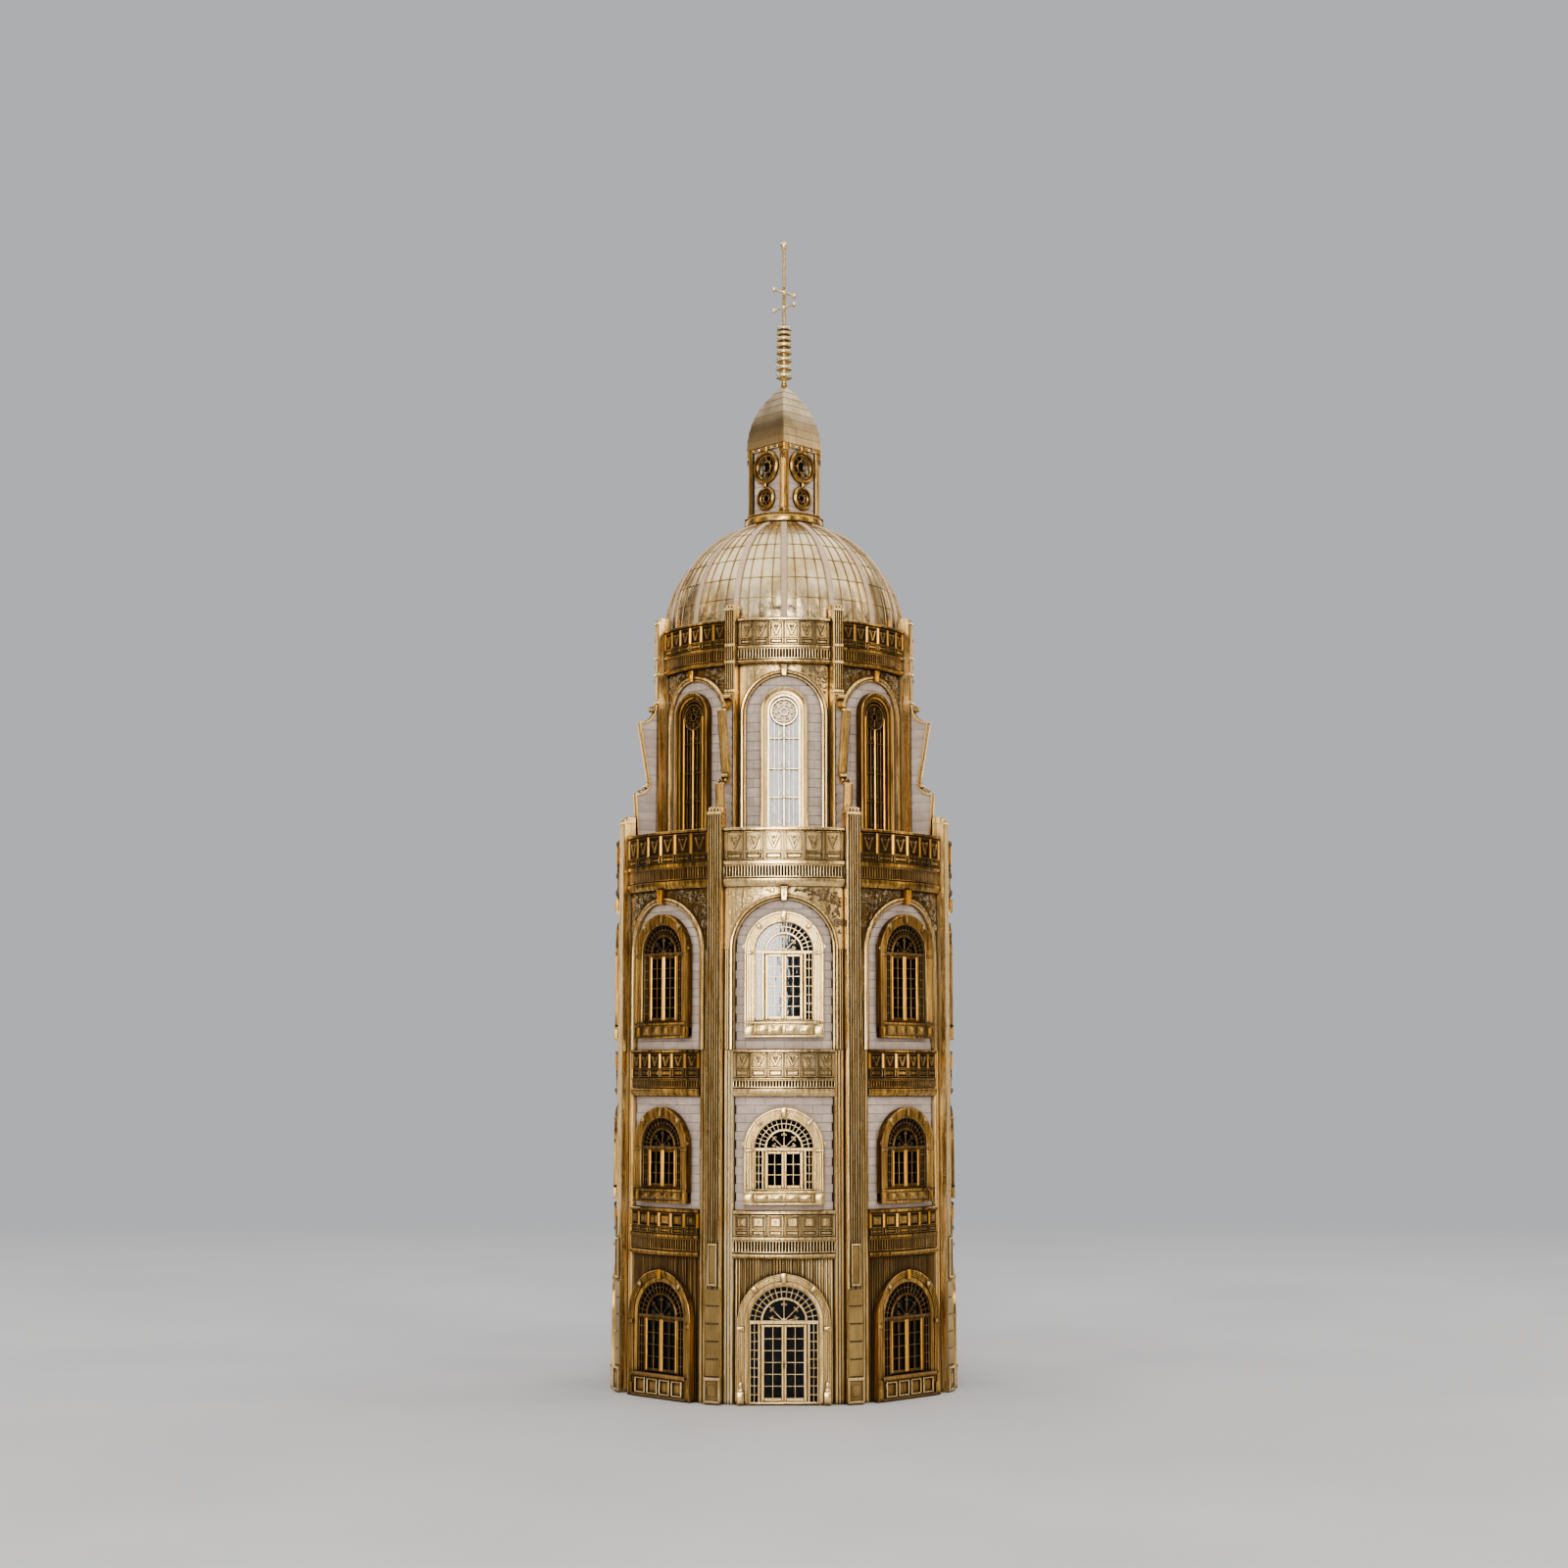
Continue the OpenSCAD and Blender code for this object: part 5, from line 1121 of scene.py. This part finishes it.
# ------------------------------------------------------------------ lancets
g = Geo()
g.join(sweep(arch_path(8.7, 314, 397.9, 32), [(0, 75.2), (0, 77.2), (1.4, 77.2), (1.6, 78.0), (3.2, 78.2), (3.4, 79.0), (4.7, 79.5), (5.3, 79.2), (5.4, 75.2)]))
g.join(block(-14, 14, 314, 316.4, 75.2, 79.4, 0.4))
cz = 397.3
g.join(arc_bar(cz, 7.6, 0, 360, 1.3, 75.5, 77.4, 40))
g.join(arc_bar(cz, 2.2, 0, 360, 0.7, 75.5, 77.2, 18))
for k in range(8):
    a = pi * k / 4
    g.join(bar(2.3 * cos(a), cz + 2.3 * sin(a), 7.3 * cos(a), cz + 7.3 * sin(a), 0.5, 75.5, 77.0))
    a += pi / 8
    g.join(arc_bar(0, 1.25, 0, 360, 0.4, 75.5, 76.9, 12).map(lambda p, a=a: p + np.array([5.0 * cos(a), 0, cz + 5.0 * sin(a)])))
g.join(bar(0, 316, 0, 389.8, 1.3, 75.4, 77.3))
for x in (-5.6, -3.0, 3.0, 5.6):
    g.join(bar(x, 316, x, 391.2 if abs(x) < 4 else 393.5, 0.5, 75.5, 76.8))
for z in (329, 346.2, 363.3, 381.4):
    g.join(bar(-8.8, z, 8.8, z, 0.8, 75.5, 77.0))
    g.join(disc_rosette(0, z, 1.2, 77.2, 6))
    for s in (-1, 1):
        g.join(curl(s * 1.9, z + 3.2, 1.1, -pi / 2, 0.9, 76.6, 0.25, s, 12))
bays("lancets", flat(g), "gilt_amber", "gilt_light", ["lancet_frames"], inner=("gilt_umber", 77.9))
g = bar(0, 316.6, 0, 389.6, 1.1, 77.0, 77.6)
for s in (-1, 1):
    g.join(bar(s * 8.15, 316.6, s * 8.15, 397, 1.0, 76.6, 77.5))
piece("lancet_stiles", ring(flat(g), SIDE_BAYS), "gilt_painted_glint")
# the front lancet pane is coloured pale blue-white as a painted reflection
bays("lancet_panes", flat(pane_sheet(9.4, 316.4, 397.9, 74.4, 0.9)), "amber_glass", "glass_sheen_painted", ["lancet_glass"])

# ------------------------------------------------------------------ buttresses


def fin_outline():
    p = [(85.2, 308.1), (95.2, 308.1), (98.2, 352.6)]
    for i in range(1, 9):
        a = pi / 2 * i / 8
        p.append((98.0 - 8.6 + 4.2 * (1 - sin(a)) + 4.4 * (1 - i / 8), 352.8 + 5.2 * (1 - cos(a))))
    p += [(89.5, 359.6), (95.9, 396.3)]
    for i in range(1, 10):
        a = pi / 2 * i / 9
        p.append((95.4 - 9.6 * sin(a), 406.6 - 10 * cos(a)))
    p += [(85.2, 408.2)]
    return p


out_ = fin_outline()


def in_fin(y, z, d):
    # width of the fin at height z
    best = None
    for (a, b), (c, e_) in zip(out_[1:], out_[2:]):
        if (b - z) * (e_ - z) <= 0 and abs(e_ - b) > 1e-6:
            t = (z - b) / (e_ - b)
            q = a + (c - a) * t
            best = q if best is None else max(best, q)
    return (best or 85.2) - d


g = Geo()
zs_ = list(np.arange(308.6, 405.5, 5.6))
for i, z0 in enumerate(zs_):  # stone courses
    z1 = min(z0 + 5.35, 406.4)
    rows = []
    for z in np.linspace(z0, z1, 5):
        e1 = max(85.6, in_fin(0, z, 0.9))
        b = 1.75 if z in (z0, z1) else 2.0
        rows.append([(-b, 84.7, z), (b, 84.7, z), (b, e1, z), (-b, e1, z)])
    g.join(loft(rows))
g.join(loft([[(-1.6, 84.7, z), (1.6, 84.7, z), (1.6, max(85.3, in_fin(0, z, 1.2)), z), (-1.6, max(85.3, in_fin(0, z, 1.2)), z)] for z in np.linspace(308.4, 406.8, 60)]))
piece("buttress_stone", ring(flat(g), CORNERS), "stone", replaces=["buttresses"])
g = Geo()
# coping strip round the edge: a channel with a raised centre
P = np.array(out_[1:])
T = np.gradient(P, axis=0)
T /= np.linalg.norm(T, axis=1)[:, None]
N = np.stack([-T[:, 1], T[:, 0]], 1)
rows = []
for (y, z), (ny, nz) in zip(P, N):
    if ny > 0 or (abs(ny) < 1e-3 and nz < 0):
        ny, nz = ny, nz
    rows.append([(x, y + d * ny, z + d * nz) for x, d in ((-2.8, 0.0), (-2.8, 0.9), (2.8, 0.9), (2.8, 0.0), (2.0, -0.15), (1.2, -0.15), (0.9, -0.4), (-0.9, -0.4), (-1.2, -0.15), (-2.0, -0.15))])
g.join(loft(rows))
for x in (-1.9, 0.0, 1.9):  # reeds along the front of the strip
    g.join(tube([(x, y - 0.25, z) for (y, z) in out_[1:3]], 0.42, 6))
    g.join(tube([(x, y - 0.25, z) for (y, z) in ((89.5, 360.4), (95.9, 395.6))], 0.42, 6))
piece("buttress_gilt", ring(flat(g), CORNERS), "gilt", replaces=["buttress_copings"])
g = Geo()
# scrolls and blocks in pale gilt: painted highlights
for (y, z, r) in ((93.6, 354.6, 1.7), (87.6, 405.2, 1.9)):
    for s in (-1, 1):
        g.join(tube([(s * 2.2, y + q * cos(a), z + q * sin(a)) for a, q in [(i * 0.45, r * (1 - i / 22)) for i in range(18)]], 0.42, 6))
for y, z in ((90.6, 358.2), (88.0, 405.6)):
    g.join(loft([[(x, y + 1.3 * cos(a), z + 1.3 * sin(a)) for a in np.linspace(0, 2 * pi, 15)[:-1]] for x in (-2.1, -1.8, 1.8, 2.1)]))
g.join(block(-2.6, 2.6, 395.8, 397.2, 93.9, 96.1, 0.5))
g.join(block(-2.6, 2.6, 351.9, 353.3, 95.9, 98.1, 0.5))
piece("buttress_scrolls", ring(flat(g), CORNERS), "gilt_light")

g = fluted(6.3, 77.0, 84.4, 430, 458.8, 4, 0.85)
g.join(fluted(6.3, 75.2, 84.4, 308.1, 430, 4, 0.85))
for z in (409.5, 426.9, 437):
    g.join(block(-3.25, 3.25, z - 0.9, z + 0.9, 76.8, 84.95, 0.35))
g.join(block(-3.2, 3.2, 457.8, 459.4, 76.8, 84.9, 0.35))
for k in range(3):
    g.join(ball(((k - 1) * 2.0, 83.4, 460.1), 0.95, 10, sz=1.2))
g.join(block(-3.2, 3.2, 459.2, 461.6, 76.8, 83.2, 0.4))
piece("piers_upper", ring(flat(g), CORNERS), "gilt_pier", replaces=["upper_piers"])

# ------------------------------------------------------------------ dome
DZ, DRD = 453.0, 74.6


def sph(th, ph, r):
    return (r * cos(ph) * sin(th), -r * cos(ph) * cos(th), DZ + r * sin(ph))


g = Geo()
SE = [radians(a) for a in (11.0, 21.3, 32.4, 42.4, 53.0, 63.5)]
phs = sorted(set([0.0] + list(np.linspace(0.0, radians(72), 60)) + [a + d for a in SE for d in (-0.006, -0.003, 0.003, 0.006)]))
phs = [p for p in phs if p <= radians(72)]


def panel_r(u, ph):
    # u: 0..1 across a gore; three standing seams and horizontal laps
    cell = (u * 4) % 1.0
    return 0.22 * sin(pi * cell) + 0.10 * abs(sin(6 * u * pi + ph * 9))  # sheets belly out a little


for k in range(16):
    us = []
    for c in range(4):
        us += [c / 4 + d for d in (0.0, 0.008, 0.014, 0.06, 0.125, 0.19, 0.236, 0.242)]
    us.append(1.0)
    rows = []
    for ph in phs:
        outer = [sph(2 * pi * (k + u) / 16, ph, DRD - 0.05 + panel_r(u, ph)) for u in us]
        inner = [sph(2 * pi * (k + u) / 16, ph, DRD - 2) for u in us[::-1]]
        rows.append(outer + inner)
    g.join(loft(rows))
g.join(lathe([(71.6, 430.05), (74.55, 430.05), (74.55, 453.0), (71.6, 453.0)], 160))
g.join(lathe([(74.4, 453.2), (75.6, 453.2), (75.9, 453.9), (75.6, 454.8), (74.4, 454.8)], 160))
piece("dome_sheets", g, "gilt_dome", "dome", ["dome_shell"], angle=24)
g = Geo()
for k in range(16):
    for c in (0.25, 0.5, 0.75):  # standing seams
        th = 2 * pi * (k + c) / 16
        side = np.array([cos(th), sin(th), 0])
        rows = []
        for ph in np.linspace(radians(0.8), radians(69.5), 50):
            rows.append([np.array(sph(th, ph, DRD + d)) + x * side for x, d in ((-0.26, -0.2), (-0.26, 0.22), (-0.12, 0.5), (0.12, 0.5), (0.26, 0.22), (0.26, -0.2))])
        g.join(loft(rows))
    for ph in SE:  # laps between the courses of sheets
        rows = []
        for u in np.linspace(0.02, 0.98, 25):
            rows.append([sph(2 * pi * (k + u) / 16, ph + q / DRD, DRD + d) for q, d in ((-0.28, -0.2), (-0.28, 0.42), (0.06, 0.48), (0.28, 0.20), (0.28, -0.2))])
        g.join(loft(rows))
piece("dome_seams", g, "gilt_seam", "dome", angle=24)
g = Geo()
for k in range(16):
    th = 2 * pi * k / 16
    rows = []
    for ph in np.linspace(radians(1.2), radians(70.0), 70):
        hw = 1.75
        row = []
        for x, d in ((-hw, -0.3), (-hw, 0.9), (-hw * 0.72, 1.30), (-hw * 0.25, 1.38), (hw * 0.25, 1.38), (hw * 0.72, 1.30), (hw, 0.9), (hw, -0.3)):
            p = np.array(sph(th, ph, DRD + d))
            row.append(p + x * np.array([cos(th), sin(th), 0]))
        rows.append(row)
    g.join(loft(rows))
piece("dome_ribbing", g, "stone_rib", "dome", ["dome_ribs"])

# ------------------------------------------------------------------ lantern
g = Geo()
# a wide smooth band between fillets, with small leaves and beads at its foot
g.join(lathe([(13.2, 528), (13.2, 531.15), (24.3, 531.15), (24.8, 530.75), (24.6, 530.3), (24.1, 530.0), (24.7, 529.2), (25.0, 527.9), (25.0, 526.6), (24.7, 525.5), (24.1, 525.0), (24.6, 524.7), (25.2, 524.2), (25.2, 523.3), (24.6, 522.9), (24.2, 523.6), (13.2, 526.8)], 128))
piece("lantern_ring", g, "gilt", "dome", ["lantern_base"])
g = Geo()
for i in range(32):
    a = 2 * pi * i / 32
    g.join(ball((25.0 * cos(a), 25.0 * sin(a), 524.0), 0.62, 8, sz=1.5))
    b_ = leaf(0, 523.4, -pi / 2, 2.6, 0.9, 25.05, 0.45)
    g.join(turn(flat(b_), math.degrees(a)))
piece("lantern_leaves", g, "gilt_dark", "dome")

LA = 33.0
g = Geo()
for k in range(9):  # coursed faces with the two round openings
    z0, z1 = 531.3 + k * 4.95, 531.3 + (k + 1) * 4.95 - 0.2
    xs = np.linspace(-11.5, 11.5, 60)
    for side in (0, 1):
        cur = []
        for x in xs:
            lo, hi = z0, z1
            for zc, rr in ((562.4, 7.2), (542.4, 4.6)):
                if abs(x) < rr:
                    h = sqrt(rr * rr - x * x)
                    if side == 0:
                        hi = min(hi, zc - h) if zc - h < hi and zc + h > lo else hi
                    else:
                        lo = max(lo, zc + h) if zc + h > lo and zc - h < hi else lo
            if side == 1 and lo == z0:
                lo = hi + 1
            if hi - lo > 0.2:
                cur.append([(x, 13.6, lo), (x, 14.95, lo), (x, 15.05, (lo + hi) / 2), (x, 14.95, hi), (x, 13.6, hi)])
            else:
                if len(cur) > 1:
                    g.join(loft(cur))
                cur = []
        if len(cur) > 1:
            g.join(loft(cur))
piece("lantern_faces", ring(flat(g), [45 + 90 * i for i in range(4)]), "stone_pale", "dome", ["lantern_body"])
g = lathe([(11.4, 531.3), (12.2, 531.3), (12.2, 575.6), (11.4, 575.6)], 48)
piece("lantern_lining", g, "core", "dome")

g = Geo()
for zc, ro, ri in ((562.4, 10.8, 7.0), (542.4, 7.6, 4.4)):
    w = ro - ri
    path = [(ri * cos(a), zc + ri * sin(a), cos(a), sin(a)) for a in np.linspace(0, 2 * pi, 41)]
    g.join(sweep(path, [(0, 15.12), (0, 16.0), (w * 0.15, 16.5), (w * 0.35, 16.4), (w * 0.42, 17.2), (w * 0.7, 17.5), (w * 0.85, 17.1), (w, 16.4), (w, 15.12)]))
    path = [(ri * 0.44 * cos(a), zc + ri * 0.44 * sin(a), cos(a), sin(a)) for a in np.linspace(0, 2 * pi, 25)]
    g.join(sweep(path, [(0, 14.95), (0, 15.8), (ri * 0.09, 16.1), (ri * 0.18, 15.8), (ri * 0.18, 14.95)]))
    for k in range(8):
        a = pi * k / 4
        g.join(bar(ri * 0.58 * cos(a), zc + ri * 0.58 * sin(a), ri * 1.03 * cos(a), zc + ri * 1.03 * sin(a), 0.5, 15.12, 15.9))
    for k in range(24):
        a = 2 * pi * k / 24
        g.join(ball(((ri + w * 0.62) * cos(a), 17.35, zc + (ri + w * 0.62) * sin(a)), 0.34, 6))
g.join(block(-1.1, 1.1, 549.4, 552.2, 15.2, 17.5, 0.4))
g.join(block(-1.6, 1.6, 572.2, 575.5, 15.2, 17.4, 0.5))
piece("oculi", ring(flat(g), [45 + 90 * i for i in range(4)]), "gilt_amber", "dome", ["oculus_rings"])


def ogive(t):
    q, Rc = 42 * t, 49.2
    c = Rc - LA / sqrt(2) - 0.26
    return max(0.8, (sqrt(max(0, Rc * Rc - q * q)) - c) / sqrt(2))


g = Geo()
rows = []
N_PL = 8
for k in range(N_PL):  # overlapping planks, each tipped out at its lower edge
    t0, t1 = k / N_PL, (k + 1) / N_PL
    for t, d in ((t0, 0.0), (t0 + 0.0015, 0.0), (t1 - 0.004, -0.24)):
        h = ogive(t) + d
        z = 576.05 + 42 * t
        h = max(h, 0.8)
        rows.append([(h, h, z), (-h, h, z), (-h, -h, z), (h, -h, z)])
    h = max(0.8, ogive(t1) - 0.24)
g.join(loft(rows))
g = turn(g, 45)
piece("cupola", g, "gilt_cupola", "dome", ["cupola_roof"], angle=20)
g = Geo()
for k in range(1, N_PL):  # the shadow line under each plank
    h = max(0.8, ogive(k / N_PL) - 0.16)
    z = 576.05 + 42 * k / N_PL
    g.join(loft([[(h + d, h + d, z + e_), (-h - d, h + d, z + e_), (-h - d, -h - d, z + e_), (h + d, -h - d, z + e_)] for e_, d in ((-0.24, 0.0), (-0.22, 0.06), (-0.05, 0.06), (-0.03, 0.0))]))
piece("cupola_laps", turn(g, 45), "gilt_dark", "dome", angle=20)
# corner pilasters, cornice and scrolls of the lantern
g = Geo()
q = Geo()
c0 = LA / 2
for dx in (0.0, 1.25, 2.5):
    q.join(block(c0 - 4.6 + dx, c0 - 3.45 + dx, 533.6, 571.5, c0 - 4.5, c0 - 0.15, 0.3).map(lambda p: p))
q.join(block(c0 - 4.7, c0, 531.3, 533.8, c0 - 4.7, c0, 0.35))
q.join(block(c0 - 4.7, c0, 571.2, 573.0, c0 - 4.7, c0, 0.35))
q.join(block(c0 - 4.5, c0 - 0.25, 533.0, 573.0, c0 - 4.5, c0 - 1.0, 0.2))
q.join(block(c0 - 4.6, c0 - 0.05, 573.0, 576.0, c0 - 4.6, c0 - 0.05, 0.3))
q.join(curl(c0 - 2.0, 569.0, 1.8, -pi / 2, 1.25, c0 - 0.1, 0.5, 1, 20))
q.join(ball((c0 - 0.7, c0 - 0.7, 567.0), 0.95, 10))
for i in range(4):
    g.join(turn(flat(q), 45 + 90 * i))
q = Geo()
q.join(block(-12.0, 12.0, 573.6, 576.0, 13.6, 16.3, 0.3))
q.join(block(-11.9, 11.9, 575.2, 576.0, 15.0, 16.6, 0.3))
for k in range(4):
    q.join(panel((k - 1.5) * 5.6, 2.4, 573.7, 575.1, 16.2, "none", 0.35))
for i in range(4):
    g.join(turn(flat(q), 45 + 90 * i))
piece("lantern_posts", g, "gilt_amber", "dome", angle=20)
q = Geo()
for s in (-1, 1):  # near-black strips that set the posts off from the faces: painted shade of channels there
    q.join(bar(s * 11.55, 534, s * 11.55, 571, 0.75, 14.9, 15.45))
    q.join(bar(s * 13.7, 534.5, s * 13.7, 570.5, 0.42, 15.9, 16.42))
piece("lantern_channels", ring(flat(q), [45 + 90 * i for i in range(4)]), "core", "dome")
q = Geo()
for k in range(4):  # panel outlines and scroll eyes of the cornice, pale as painted highlights
    q.join(panel((k - 1.5) * 5.6, 2.55, 573.3, 575.3, 16.35, "none", 0.35))
for s in (-1, 1):
    q.join(ball((s * 15.6, 15.6, 566.4), 0.85, 12))
piece("lantern_trim", ring(flat(q), [45 + 90 * i for i in range(4)]), "gilt_light", "dome")

# ------------------------------------------------------------------ finial
prof = [(1.5, 610.5), (1.5, 617.6), (2.1, 618.2), (2.1, 619.0), (1.6, 619.6), (1.6, 621.4), (2.6, 622.9)]
for zz, r in ((624.4, 5.05), (629.8, 4.9), (635.1, 4.7), (640.2, 4.5), (644.6, 4.3), (648.7, 4.1), (652.4, 3.8), (655.5, 3.9)):
    prof += [(r * 0.66, zz - 1.45)]
    prof += [(r - 0.6 + 0.6 * cos(a), zz + 1.15 * sin(a)) for a in np.linspace(-pi / 2, pi / 2, 9)]
    prof += [(r * 0.66, zz + 1.35)]
prof += [(1.3, 657.0), (1.0, 658.2)]
prof = sorted(prof[:7], key=lambda p: p[1]) + prof[7:]
clean = [prof[0]]
for p in prof[1:]:
    if p[1] >= clean[-1][1] - 1e-6:
        clean.append(p)
core_ = [(min(r, 2.9 if z < 623 else 5.05 * 0.62), z) for r, z in clean]
piece("finial_core", solid_lathe(core_, 40), "gilt_fine", "dome", ["finial_spindle"])
g = Geo()
for zz, r in ((624.4, 5.5), (629.8, 5.4), (635.1, 5.3), (640.2, 5.2), (644.6, 5.1), (648.7, 5.0), (652.4, 4.8), (655.5, 4.9)):
    t_ = 1.15 if zz < 650 else 0.95
    g.join(lathe([(1.2, zz - t_ * 0.9)] + [(r - 0.75 + 0.75 * cos(a), zz + t_ * sin(a)) for a in np.linspace(-pi / 2, pi / 2, 9)] + [(1.2, zz + t_ * 0.9)], 44))
piece("finial_rings", g, "gilt_pale", "dome")
g = solid_lathe([(0.93, 657.4), (1.0, 661), (1.15, 665), (0.95, 668), (0.9, 690), (0.85, 708.6), (1.3, 708.9), (1.3, 709.3)], 24)
piece("finial_stem", g, "gilt_fine", "dome", ["finial_rod"])
g = solid_lathe([(2.5 * cos(a) if abs(a) < 1.55 else 0.05, 710.6 + 2.5 * sin(a)) for a in np.linspace(-1.5, 1.57, 18)], 28)
for z, s in ((669.7, -1), (679.5, 1)):
    a = radians(45 * s)
    d = np.array([cos(a), sin(a), 0])
    pts = [tuple(np.array([0, 0, z]) + d * t) for t in np.linspace(-8.9, 8.9, 9)]
    g.join(tube(pts, [0.85, 0.7, 0.72, 0.85, 1.0, 0.85, 0.72, 0.7, 0.85], 10))
    for e_ in (-1, 1):
        g.join(ball(tuple(np.array([0, 0, z]) + d * 9.0 * e_), 1.6, 14))
    g.join(solid_lathe([(0.9, z - 1.4), (1.6, z - 0.6), (1.6, z + 0.6), (0.9, z + 1.4)], 20))
piece("finial_cross", g, "gilt_pale", "dome")

# ------------------------------------------------------------------ luna
g = Geo()
path = [(29.1 * cos(a), 368 + 29.1 * sin(a), cos(a), sin(a)) for a in np.linspace(0, 2 * pi, 97)]
g.join(sweep(path, [(-0.05, -3.3), (1.45, -3.38), (1.45, -4.5), (1.8, -4.75), (3.0, -4.75), (3.6, -4.2), (4.3, -3.6), (4.3, -1.2), (3.7, -0.8), (3.7, 0.8), (4.3, 1.2), (4.3, 3.6), (3.6, 4.2), (3.0, 4.75), (1.8, 4.75), (1.45, 4.5), (1.45, 3.38), (-0.05, 3.3)]))
for k in range(48):
    a = 2 * pi * k / 48
    for s in (-1, 1):
        g.join(ball((31.6 * cos(a), s * 4.35, 368 + 31.6 * sin(a)), 0.42, 6))
g = flat(g)
g.join(solid_lathe([(2.95, 314.1), (2.95, 333.9), (5.9, 334.1), (5.9, 335.4), (3.4, 336.0)], 40))
piece("luna_frame", g, "gilt_light", "luna", ["luna_ring"])

# ------------------------------------------------------------------ the frame's own nodes that stay in view
KEEP = {"base_plate": "gilt_dark", "felt_pad": "felt", "base_screws": "gilt_dark", "core_tube": "core", "floor_one": "core", "floor_two": "core",
        "second_drum": "gilt_dark", "third_drum": "gilt_dark", "terrace_floor": "gilt_dark", "chamber_drum": "gilt_dark", "hinge_pins": "gilt_dark",
        "door_knobs_left": "gilt_light", "door_knobs_right": "gilt_light", "luna_socket": "gilt", "luna_lenses": "lens"}
for name, mat in KEEP.items():
    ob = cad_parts[name]
    ob.data.materials.clear()
    ob.data.materials.append(M[mat])

# ------------------------------------------------------------------ stage
me = bpy.data.meshes.new("floor")
me.from_pydata([(-4, -4, 0), (4, -4, 0), (4, 4, 0), (-4, 4, 0)], [], [(0, 1, 2, 3)])
floor = bpy.data.objects.new("floor", me)
bpy.context.scene.collection.objects.link(floor)
fm = plain("floor_pale", (0.56, 0.56, 0.57), (0.60, 0.60, 0.61), 0.6, 6)
me.materials.append(fm)
# far from the object the floor fades into the plain backdrop, so no horizon line shows
ft = fm.node_tree
ln = ft.nodes.new("ShaderNodeVectorMath")
ln.operation = "LENGTH"
ft.links.new(stretched(ft, 1, 1, 1), ln.inputs[0])
fade = ft.nodes.new("ShaderNodeMapRange")
fade.interpolation_type = "SMOOTHSTEP"
for i_, v_ in enumerate((0.55, 2.0, 1.0, 0.0)):
    fade.inputs[1 + i_].default_value = v_
ft.links.new(ln.outputs["Value"], fade.inputs[0])
fb = next(n_ for n_ in ft.nodes if n_.type == "BSDF_PRINCIPLED")
ft.links.new(fade.outputs[0], fb.inputs["Alpha"])
floor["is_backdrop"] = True

w = bpy.data.worlds.new("studio")
bpy.context.scene.world = w
w.use_nodes = True
wt = w.node_tree
wt.nodes.clear()
wo = wt.nodes.new("ShaderNodeOutputWorld")
b_seen, b_lit = wt.nodes.new("ShaderNodeBackground"), wt.nodes.new("ShaderNodeBackground")
b_seen.inputs[0].default_value, b_seen.inputs[1].default_value = (0.68, 0.69, 0.71, 1), 0.66
b_lit.inputs[0].default_value, b_lit.inputs[1].default_value = (0.80, 0.84, 0.95, 1), 0.10
lp = wt.nodes.new("ShaderNodeLightPath")
mx = wt.nodes.new("ShaderNodeMixShader")
wt.links.new(lp.outputs["Is Camera Ray"], mx.inputs[0])
wt.links.new(b_lit.outputs[0], mx.inputs[1])
wt.links.new(b_seen.outputs[0], mx.inputs[2])
wt.links.new(mx.outputs[0], wo.inputs[0])


def area(name, loc, aim, size, power, colour=(1, 1, 1), size_y=None):
    l = bpy.data.lights.new(name, "AREA")
    l.energy, l.size, l.color = power, size, colour
    if size_y:
        l.shape, l.size_y = "RECTANGLE", size_y
    o = bpy.data.objects.new(name, l)
    o.location = loc
    o.rotation_euler = (Vector(aim) - Vector(loc)).to_track_quat("-Z", "Y").to_euler()
    bpy.context.scene.collection.objects.link(o)


area("key_low", (-0.36, -2.3, 0.335), (-0.36, 0, 0.335), 0.72, 12, (1, 0.985, 0.97), 0.36)
area("key_high", (0.0, -2.3, 1.08), (0.0, 0, 1.08), 0.62, 24, (1, 0.97, 0.93), 1.12)
area("fill_left", (-1.5, -1.7, 0.9), (0, 0, 0.35), 0.22, 5, (1, 0.90, 0.78), 1.6)
area("fill_right", (1.5, -1.7, 0.9), (0, 0, 0.35), 0.26, 8, (1, 0.90, 0.78), 1.6)
area("strip_left", (-1.9, -0.25, 0.7), (0, 0, 0.35), 0.12, 5, (1, 0.82, 0.58), 1.8)
area("strip_right", (1.9, -0.20, 0.95), (0, 0, 0.45), 0.16, 7, (1, 0.85, 0.65), 2.0)
area("rim_left", (-1.5, 1.5, 0.7), (0, 0, 0.35), 0.4, 6, (1, 0.93, 0.85), 1.6)
area("rim_right", (1.5, 1.5, 0.7), (0, 0, 0.35), 0.4, 6, (1, 0.93, 0.85), 1.6)
area("ceiling", (0, 0.5, 4.2), (0, 0.5, 0), 9.0, 300)

cam = bpy.data.cameras.new("cam")
cam.lens, cam.sensor_width = 54.45, 36
co = bpy.data.objects.new("cam", cam)
co.location, co.rotation_euler = (0, -1.463, 0.18225), (radians(97.07), 0, 0)
bpy.context.scene.collection.objects.link(co)
bpy.context.scene.camera = co
bpy.context.scene.view_settings.look = "AgX - Medium High Contrast"

lo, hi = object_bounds()
{"cad": [list(cad_lo), list(cad_hi)], "visual": [list(lo), list(hi)]}
